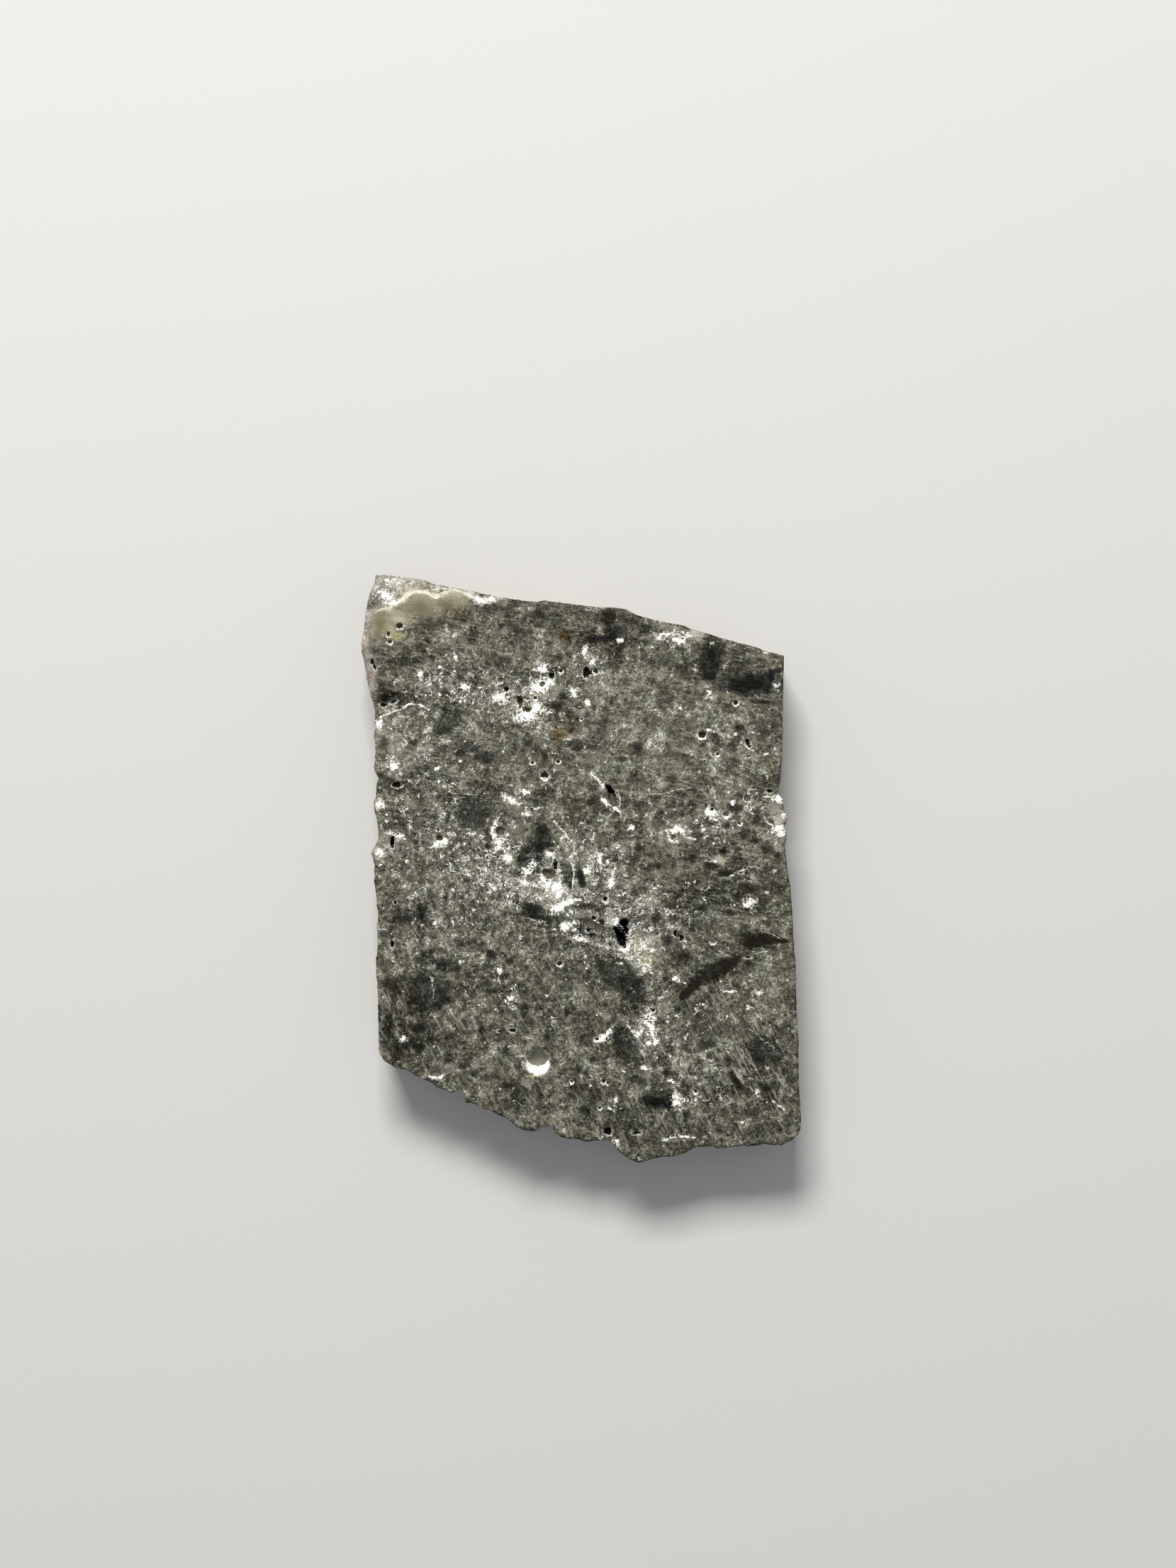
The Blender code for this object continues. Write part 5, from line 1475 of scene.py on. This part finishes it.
def pit_group():
    """Floor inside the outline, a broken ring round it, and a crescent below a raised circle; the crescent
    and the ring's lower side are painted highlights.
    """
    takes = [("Local", "place"), ("Look", "place"), ("Size", "number"), ("Drift", "place")]
    gives = [("Floor", "number"), ("Rim", "number"), ("Lining", "number"), ("Depth", "number")]
    board, given, end = new_group("bubble pits", takes, gives)
    reach = board.math("MINIMUM", board.math("DIVIDE", PIT_WANDER, given["Size"]), MOST_WANDER)
    push = board.put("ShaderNodeCombineXYZ", {0: reach, 1: reach}).outputs[0]
    local = board.vector("ADD", given["Local"], board.vector("MULTIPLY", given["Drift"], push))
    out = board.length(local)
    up = board.parts(local)[1]
    look = board.parts(given["Look"])
    width = board.math("DIVIDE", RIM_WIDTH, given["Size"])
    ring = board.step(out, board.sum(1.10, width, width), board.sum(1.0, width))
    ring = board.product(ring, board.step(out, 0.88, 1.0))
    # Painted highlight: the ring is brighter on its lower side, the wall that faces the lamp.
    painted_lit_side = board.step(up, 0.75, -0.55, 0.2, 1.0)
    breaks = board.step(board.parts(given["Drift"])[2], -0.16, 0.05, 0.3, 1.0)
    # Painted highlight: the white crescent on the lower wall, outside a circle raised by the look's third
    # number.
    raise_by = board.put("ShaderNodeCombineXYZ", {1: look[2]}).outputs[0]
    beyond = board.length(board.vector("SUBTRACT", local, raise_by))
    painted_crescent = board.product(board.step(out, 1.08, 0.96), board.step(beyond, 0.98, 1.10))
    rim = board.product(ring, painted_lit_side, breaks, look[1])
    floor_mask = board.step(out, 1.04, 0.86)
    give(board, end, Floor=floor_mask, Rim=rim, Lining=painted_crescent, Depth=board.step(out, 1.15, 0.5))
    return board.tree


def feldspar_group():
    """Mask = cover x S-curve of (nearness + lumps + crumbs + lace); a wider curve is the halo.

    Nearness = strength - 0.88 x distance, and the cover grows with the strength too."""
    takes = [("Local", "place"), ("Felt", "place"), ("Crumbs", "number"), ("Lumps", "number")]
    takes += [("Strength", "number")]
    board, given, end = new_group("feldspar", takes, [("Mask", "number"), ("Halo", "number")])
    lace = board.thread(given["Felt"], 7.0, 0.055)
    fall = board.product(board.length(given["Local"]), FELDSPAR_FALL)
    nearness = board.math("SUBTRACT", given["Strength"], fall)
    lumps = board.product(given["Lumps"], FELDSPAR_LUMPS)
    crumbs = board.product(given["Crumbs"], FELDSPAR_CRUMBS)
    total = board.sum(nearness, board.sum(lumps, crumbs, board.product(lace, FELDSPAR_LACE)))
    cover = board.step(given["Strength"], 0.50, 0.85, 0.58, 0.97)
    mask = board.product(board.step(total, 0.20, 0.66), cover)
    give(board, end, Mask=mask, Halo=board.step(total, -0.35, 0.40))
    return board.tree


def dark_group():
    """Mask = S-curve of (1 - distance + crumbs + edge), with a softer edge than feldspar has."""
    takes = [("Local", "place"), ("Crumbs", "number"), ("Edge", "number")]
    board, given, end = new_group("dark glass", takes, [("Mask", "number")])
    inside = board.math("SUBTRACT", 1.0, board.length(given["Local"]))
    frayed = board.sum(board.product(given["Crumbs"], DARK_FRAY), board.product(given["Edge"], DARK_FRAY))
    give(board, end, Mask=board.step(board.sum(inside, frayed), -0.30, 0.38))
    return board.tree


PITS = pit_group()
FELDSPAR = feldspar_group()
DARK_GLASS = dark_group()
print("Nodes for pits, feldspar and dark glass:", [len(g.nodes) for g in (PITS, FELDSPAR, DARK_GLASS)])

# %% [markdown]
# ## Clasts with ragged edges
# Nature has no clean ellipse. This group takes a tint's number, adds noise that is finer than
# the grid, and cuts the sum off round zero. All tints share one noise, which the material works
# out once.

# %% Ragged mask group


def ragged_group():
    """Mask = S-curve of (mark + raggedness x centred noise) over a band of the given softness."""
    takes = [("Mark", "number"), ("Noise", "number"), ("Raggedness", "number"), ("Softness", "number")]
    board, given, end = new_group("ragged mask", takes, [("Mask", "number")])
    total = board.sum(given["Mark"], board.product(given["Noise"], given["Raggedness"]))
    low = board.product(given["Softness"], -1.0)
    give(board, end, Mask=board.step(total, low, given["Softness"]))
    return board.tree


RAGGED = ragged_group()
print(len(RAGGED.nodes), "nodes for a ragged mask.")

# %% [markdown]
# ## The sawn face and the broken sides
# The finish is laid on in layers: ground mass, small scattered bits, the lighter broken rock,
# tinted clasts, dark glass, saw lines, pale clouds with curls and crumbs that are partly painted
# glints, white feldspar with a painted highlight along the ridge of the chip, and last the inside
# of the pits, with painted shade on deep floors and painted highlights on lower walls. Dark rock is
# a little smoother than pale. Each clast row gives the mark, how ragged and how soft its edge is,
# how much it covers, how far it keeps specks out, how it is mixed in, and its colour. Smoky glass
# darkens the rock's own texture, so it multiplies, while black glass covers it.

# %% Tables of the finish
CLAST_ROWS = [
    ("brown", 1.2, 0.45, 0.90, 0.3, "MULTIPLY", (0.66, 0.62, 0.55, 1.0)),
    ("mauve", 2.6, 0.60, 0.45, 0.0, "MIX", tone(142, 130, 120)),
    ("blue", 1.5, 0.20, 0.95, 0.8, "MULTIPLY", (0.22, 0.25, 0.255, 1.0)),
    ("olive", 2.4, 0.65, 0.64, 0.45, "MIX", tone(182, 175, 150)),
    ("core", 1.6, 0.95, 1.00, 0.0, "MULTIPLY", (0.46, 0.44, 0.37, 1.0)),
    ("border", 3.4, 0.70, 0.60, 0.0, "MIX", tone(218, 214, 198)),
    ("rust", 2.6, 0.50, 0.95, 0.4, "MULTIPLY", (0.38, 0.25, 0.10, 1.0)),
    ("pale", 3.6, 0.50, 0.20, 0.0, "MIX", tone(170, 170, 150)),
    ("grey", 2.2, 0.40, 0.62, 0.4, "MIX", tone(172, 167, 153)),
    ("yellow", 4.0, 0.45, 0.46, 0.0, "MIX", tone(164, 157, 104)),
]
DARK_CLAST = tone(34, 33, 26)
DARK_GLASS_TONE = tone(20, 16, 8)
SMOKE = (0.11, 0.11, 0.105, 1.0)
PALE_DUST = tone(168, 165, 152)
# White of the feldspar, and of painted highlights and glints: the pits' rims and crescents, the chip's
# ridge and part of the specks.
WHITE_FELDSPAR_AND_HIGHLIGHT = tone(244, 244, 238)
BROKEN_STOPS = [(0.22, tone(72, 67, 60)), (0.50, tone(138, 134, 124)), (0.80, tone(212, 209, 198))]
# Colours of the pit floors: the dark end is painted shade on the floors of deep pits, and the lighter stops
# are the floors' own tints.
PIT_FLOOR_AND_SHADE_STOPS = [
    (0.0, tone(12, 10, 6)), (0.2, tone(40, 37, 24)), (0.35, tone(86, 80, 46)), (0.45, tone(72, 70, 57)),
    (0.62, tone(98, 96, 82)), (1.0, tone(138, 136, 124)),
]
ACROSS_BLADE = math.radians(10.0)
STEEP_BLADE = math.radians(62.0)
BUMP_DEPTH = 0.018 * MM
STONE_GLOSS = 0.08
# How much a layer covers where it is thickest.
# The ridge layer is a painted highlight along the chip's cliff.
# The white bits are partly painted glints.
COVER = {
    "small dark bits": 0.50, "small pale bits": 0.25, "large dark bits": 0.70, "large pale bits": 0.60,
    "broken face": 0.70, "broken side": 0.45, "smoke": 0.84, "fine curls": 0.50, "white bits and glints": 0.92,
    "halo": 0.32, "ridge": 0.85,
}
# How far noise bends places, in millimetres: for the felt, for crumbs and for scattered bits.
FELT_BEND, CRUMB_BEND, BITS_BEND = 0.09, 0.10, 0.35
print(len(CLAST_ROWS), "tints, and covers for", len(COVER), "other layers.")

# %% [markdown]
# ## Layers of rock
# Each layer is a function that takes the colour so far and gives back the colour with the layer
# on it. The first layers are whole bits of rock. The tints calm the rock under them, so white
# specks don't show in the middle of a dark clast.

# %% Layers of rock


def lay_bits(board, place, colour, size, scale):
    """Dark and pale bits of older rock that nobody placed, of one size."""
    bits = board.group(CLASTS, {"Place": place, "Scale": scale})
    colour = board.mix(board.product(bits["Dark"], COVER[size + " dark bits"]), colour, DARK_CLAST)
    return board.mix(board.product(bits["Pale"], COVER[size + " pale bits"]), colour, PALE_DUST)


def lay_broken(board, place, colour, brightness, cover):
    """Lighter rock where the stone broke: a ramp of (cloudy noise + 0.8 x brightness - 0.3)."""
    cloudy = board.noise(place, 2.2, 5.0, 0.72, 0.4)
    grey = board.sum(cloudy, board.product(brightness, 0.8), -0.30)
    return board.mix(cover, colour, board.ramp(grey, BROKEN_STOPS))


def lay_placed(board, place, colour, grains):
    """Every tint of CLAST_ROWS and the dark glass, and how restless the rock still is under them."""
    edge = board.centred(place, 6.5, 5.0, 0.66, 0.5)
    restless = 1.0
    for mark, raggedness, softness, cover, calm, blend, paint in CLAST_ROWS:
        sockets = {"Mark": board.mark(mark), "Noise": edge, "Raggedness": raggedness, "Softness": softness}
        mask = board.group(RAGGED, sockets)["Mask"]
        colour = board.mix(board.product(mask, cover), colour, paint, blend)
        if calm:
            restless = board.product(restless, board.step(mask, 0.0, 1.0, 1.0, 1.0 - calm))
    sockets = {"Local": board.place_mark("dark place"), "Crumbs": grains, "Edge": edge}
    mask = board.group(DARK_GLASS, sockets)["Mask"]
    colour = board.mix(board.product(mask, COVER["smoke"]), colour, SMOKE, "MULTIPLY")
    restless = board.product(restless, board.step(mask, 0.1, 0.8, 1.0, 0.15))
    return board.mix(board.product(mask, board.mark("dark glass")), colour, DARK_GLASS_TONE), restless


print("Three layers of rock are ready.")

# %% [markdown]
# ## Layers of strokes and specks
# The blade's strokes lie over the bits, because it cut them all. The strokes are noise squeezed
# across its path. Fine white specks come next, partly painted glints: a pale cloud first, so that
# they don't stand alone.

# %% Layers of strokes and specks


def saw_lines(board, place):
    """Noise squeezed across the blade's path: nearly level above, steep in the lower part."""
    parts = board.parts(place)
    height = board.sum(parts[1], board.product(parts[0], 0.4))
    turn = board.step(height, -0.9, -1.1, ACROSS_BLADE, STEEP_BLADE)
    turned = board.put("ShaderNodeVectorRotate", {"Vector": place, "Angle": turn}, rotation_type="Z_AXIS")
    squeezed = board.vector("MULTIPLY", turned.outputs[0], (1.5, 12.0, 12.0))
    return board.noise(squeezed, 1.0, 3.0, 0.65, 0.6)


def lay_saw_lines(board, place, colour, restless):
    """Pale strokes where the blade's noise is high and dull ones where it is low."""
    lines = saw_lines(board, place)
    brushed = board.mark("brushed")
    bright = board.product(board.step(lines, 0.53, 0.70, 0.0, 0.60), brushed, restless)
    colour = board.mix(bright, colour, PALE_DUST)
    dull = board.product(board.step(lines, 0.46, 0.28, 0.0, 0.65), brushed)
    return board.mix(dull, colour, DARK_CLAST), lines


def lay_specks(board, place, crooked, colour, ground, restless):
    """Pale clouds, then curls and crumbs of feldspar, partly painted glints, thicker where "specks" is
    high.
    """
    amount = board.mark("specks")
    cloud = board.sum(ground["Lumps"], board.product(amount, 0.16), board.product(ground["Grains"], 0.5))
    cloud = board.step(cloud, 0.10, 0.40, 0.0, 0.36)
    colour = board.mix(board.product(cloud, restless), colour, PALE_DUST)
    large = board.group(CURLS, {"Place": place, "Amount": amount, "Scale": 7.5})["Mask"]
    small = board.group(CURLS, {"Place": place, "Amount": amount, "Scale": 13.0})["Mask"]
    colour = board.mix(board.product(small, restless, COVER["fine curls"]), colour, PALE_DUST)
    breaks = board.step(ground["Grains"], -0.08, 0.06)
    sockets = {"Place": crooked, "Amount": amount, "Scale": 5.5, "Breaks": breaks}
    crumbs = board.group(CRUMBS, sockets)["Mask"]
    # The white of the large curls and the crumbs is partly the crystals' own and partly painted glints.
    bright = board.product(board.math("MAXIMUM", large, crumbs), restless, COVER["white bits and glints"])
    return board.mix(bright, colour, WHITE_FELDSPAR_AND_HIGHLIGHT)


print("Two layers of strokes and specks are ready.")

# %% [markdown]
# ## Layers of feldspar and pits
# The listed white marks and pits come last. White feldspar has a halo of pale dust, the chip's
# ridge gets a painted highlight, and a pit covers all that lies under it, with painted shade on
# deep floors and painted highlights on lower walls.

# %% Layers of feldspar and pits


def chip_ridge(board, grains):
    """A painted highlight: a thin bright line along the top of the chip's cliff, frayed by the grains."""
    away = board.math("ABSOLUTE", board.math("SUBTRACT", board.mark("past chip"), 0.02))
    away = board.math("SUBTRACT", away, board.product(grains, 0.25))
    return board.product(board.step(away, 0.05, 0.0), board.mark("ridge"), COVER["ridge"])


def lay_feldspar(board, felt, colour, ground):
    """The listed white marks, each with a pale halo, and the painted highlight along the ridge of the chip.
    """
    sockets = {"Local": board.place_mark("white place"), "Felt": felt, "Crumbs": ground["Grains"]}
    sockets |= {"Lumps": ground["Lumps"], "Strength": board.mark("white strength")}
    white = board.group(FELDSPAR, sockets)
    colour = board.mix(board.product(white["Halo"], COVER["halo"]), colour, PALE_DUST)
    # The chip's ridge line is a painted highlight, in the feldspar's white.
    mask = board.math("MAXIMUM", white["Mask"], chip_ridge(board, ground["Grains"]))
    return board.mix(mask, colour, WHITE_FELDSPAR_AND_HIGHLIGHT)


def lay_pits(board, drift, colour, grains):
    """Floors, rims and white crescents of the pits, and how deep they look; deep floors get painted shade,
    crescents and lower rims painted highlights.
    """
    look = board.place_mark("pit look")
    sockets = {"Local": board.place_mark("pit place"), "Look": look, "Drift": drift}
    pits = board.group(PITS, sockets | {"Size": board.mark("pit size")})
    floor_tone = board.parts(look)[0]
    floor_tone = board.sum(floor_tone, board.product(grains, floor_tone))
    # Pit floors in their own tints, with painted shade, near black, on the floors of deep pits.
    colour = board.mix(pits["Floor"], colour, board.ramp(floor_tone, PIT_FLOOR_AND_SHADE_STOPS))
    # White on the rims and crescents: the pale glass of the rings, with painted highlights on their lower
    # sides and on the crescents.
    bright = board.math("MAXIMUM", pits["Rim"], pits["Lining"])
    return board.mix(bright, colour, WHITE_FELDSPAR_AND_HIGHLIGHT), pits["Depth"]


print("Two layers of feldspar and pits are ready.")

# %% [markdown]
# ## Three finishes from the same layers
# The top face is sawn and has the listed marks. The sides are broken and the underside is
# sawn, both with scattered bits alone. A little bump adds grain, strokes and the depth of the pits.

# %% Finishes


def stone_finish(name, sawn, placed):
    """The stone's finish: sawn or broken, with or without the listed marks."""
    material = bpy.data.materials.new(name)
    material.use_nodes = True
    board = Board(material.node_tree)
    metres = board.put("ShaderNodeTexCoord").outputs["Object"]
    place = board.vector("MULTIPLY", metres, (1.0 / MM,) * 3)
    drift = board.drift(place, 5.0, 2.0)
    felt = board.bent(place, drift, FELT_BEND)
    small_drift = board.drift(place, 13.0, 1.0)
    crooked = board.bent(felt, small_drift, CRUMB_BEND)
    ground = board.group(GROUND, {"Place": place, "Felt": felt, "Tone": board.mark("tone")})
    bits_place = board.bent(place, drift, BITS_BEND)
    colour = lay_bits(board, bits_place, ground["Colour"], "small", 2.8)
    restless = 1.0
    if not placed:
        colour = lay_bits(board, bits_place, colour, "large", 0.95)
    if placed or not sawn:
        cover = COVER["broken side"]
        if placed:
            cover = board.product(board.mark("broken"), COVER["broken face"])
        colour = lay_broken(board, place, colour, ground["Brightness"], cover)
    if placed:
        colour, restless = lay_placed(board, place, colour, ground["Grains"])
    relief = board.product(board.centred(place, 16.0, 2.0, 0.7), 1.2)
    if sawn:
        colour, lines = lay_saw_lines(board, felt, colour, restless)
        relief = board.sum(relief, board.product(lines, 0.8))
    colour = lay_specks(board, place, crooked, colour, ground, restless)
    if placed:
        colour = lay_feldspar(board, felt, colour, ground)
        colour, depth = lay_pits(board, small_drift, colour, ground["Grains"])
        relief = board.sum(relief, board.product(depth, -2.0))

    bump = board.put("ShaderNodeBump", {"Height": relief, "Distance": BUMP_DEPTH, "Strength": 0.8})
    shine = board.step(ground["Brightness"], 0.15, 0.60, 0.45, 0.72)
    shader = material.node_tree.nodes["Principled BSDF"]
    shader.inputs["Specular IOR Level"].default_value = STONE_GLOSS
    wires = material.node_tree.links
    wires.new(colour, shader.inputs["Base Color"])
    wires.new(shine, shader.inputs["Roughness"])
    wires.new(bump.outputs["Normal"], shader.inputs["Normal"])
    return material


stone.data.materials.append(stone_finish("sawn breccia", True, True))
stone.data.materials.append(stone_finish("broken breccia", False, False))
stone.data.materials.append(stone_finish("plain sawn breccia", True, False))
print("Finishes:", [m.name for m in stone.data.materials])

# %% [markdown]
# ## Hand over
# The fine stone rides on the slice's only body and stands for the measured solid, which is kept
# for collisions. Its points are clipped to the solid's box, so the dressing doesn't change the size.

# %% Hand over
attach(stone, "root")
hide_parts(STONE_NODE)
print("The fine stone stands for", STONE_NODE)
bpy.context.view_layer.update()
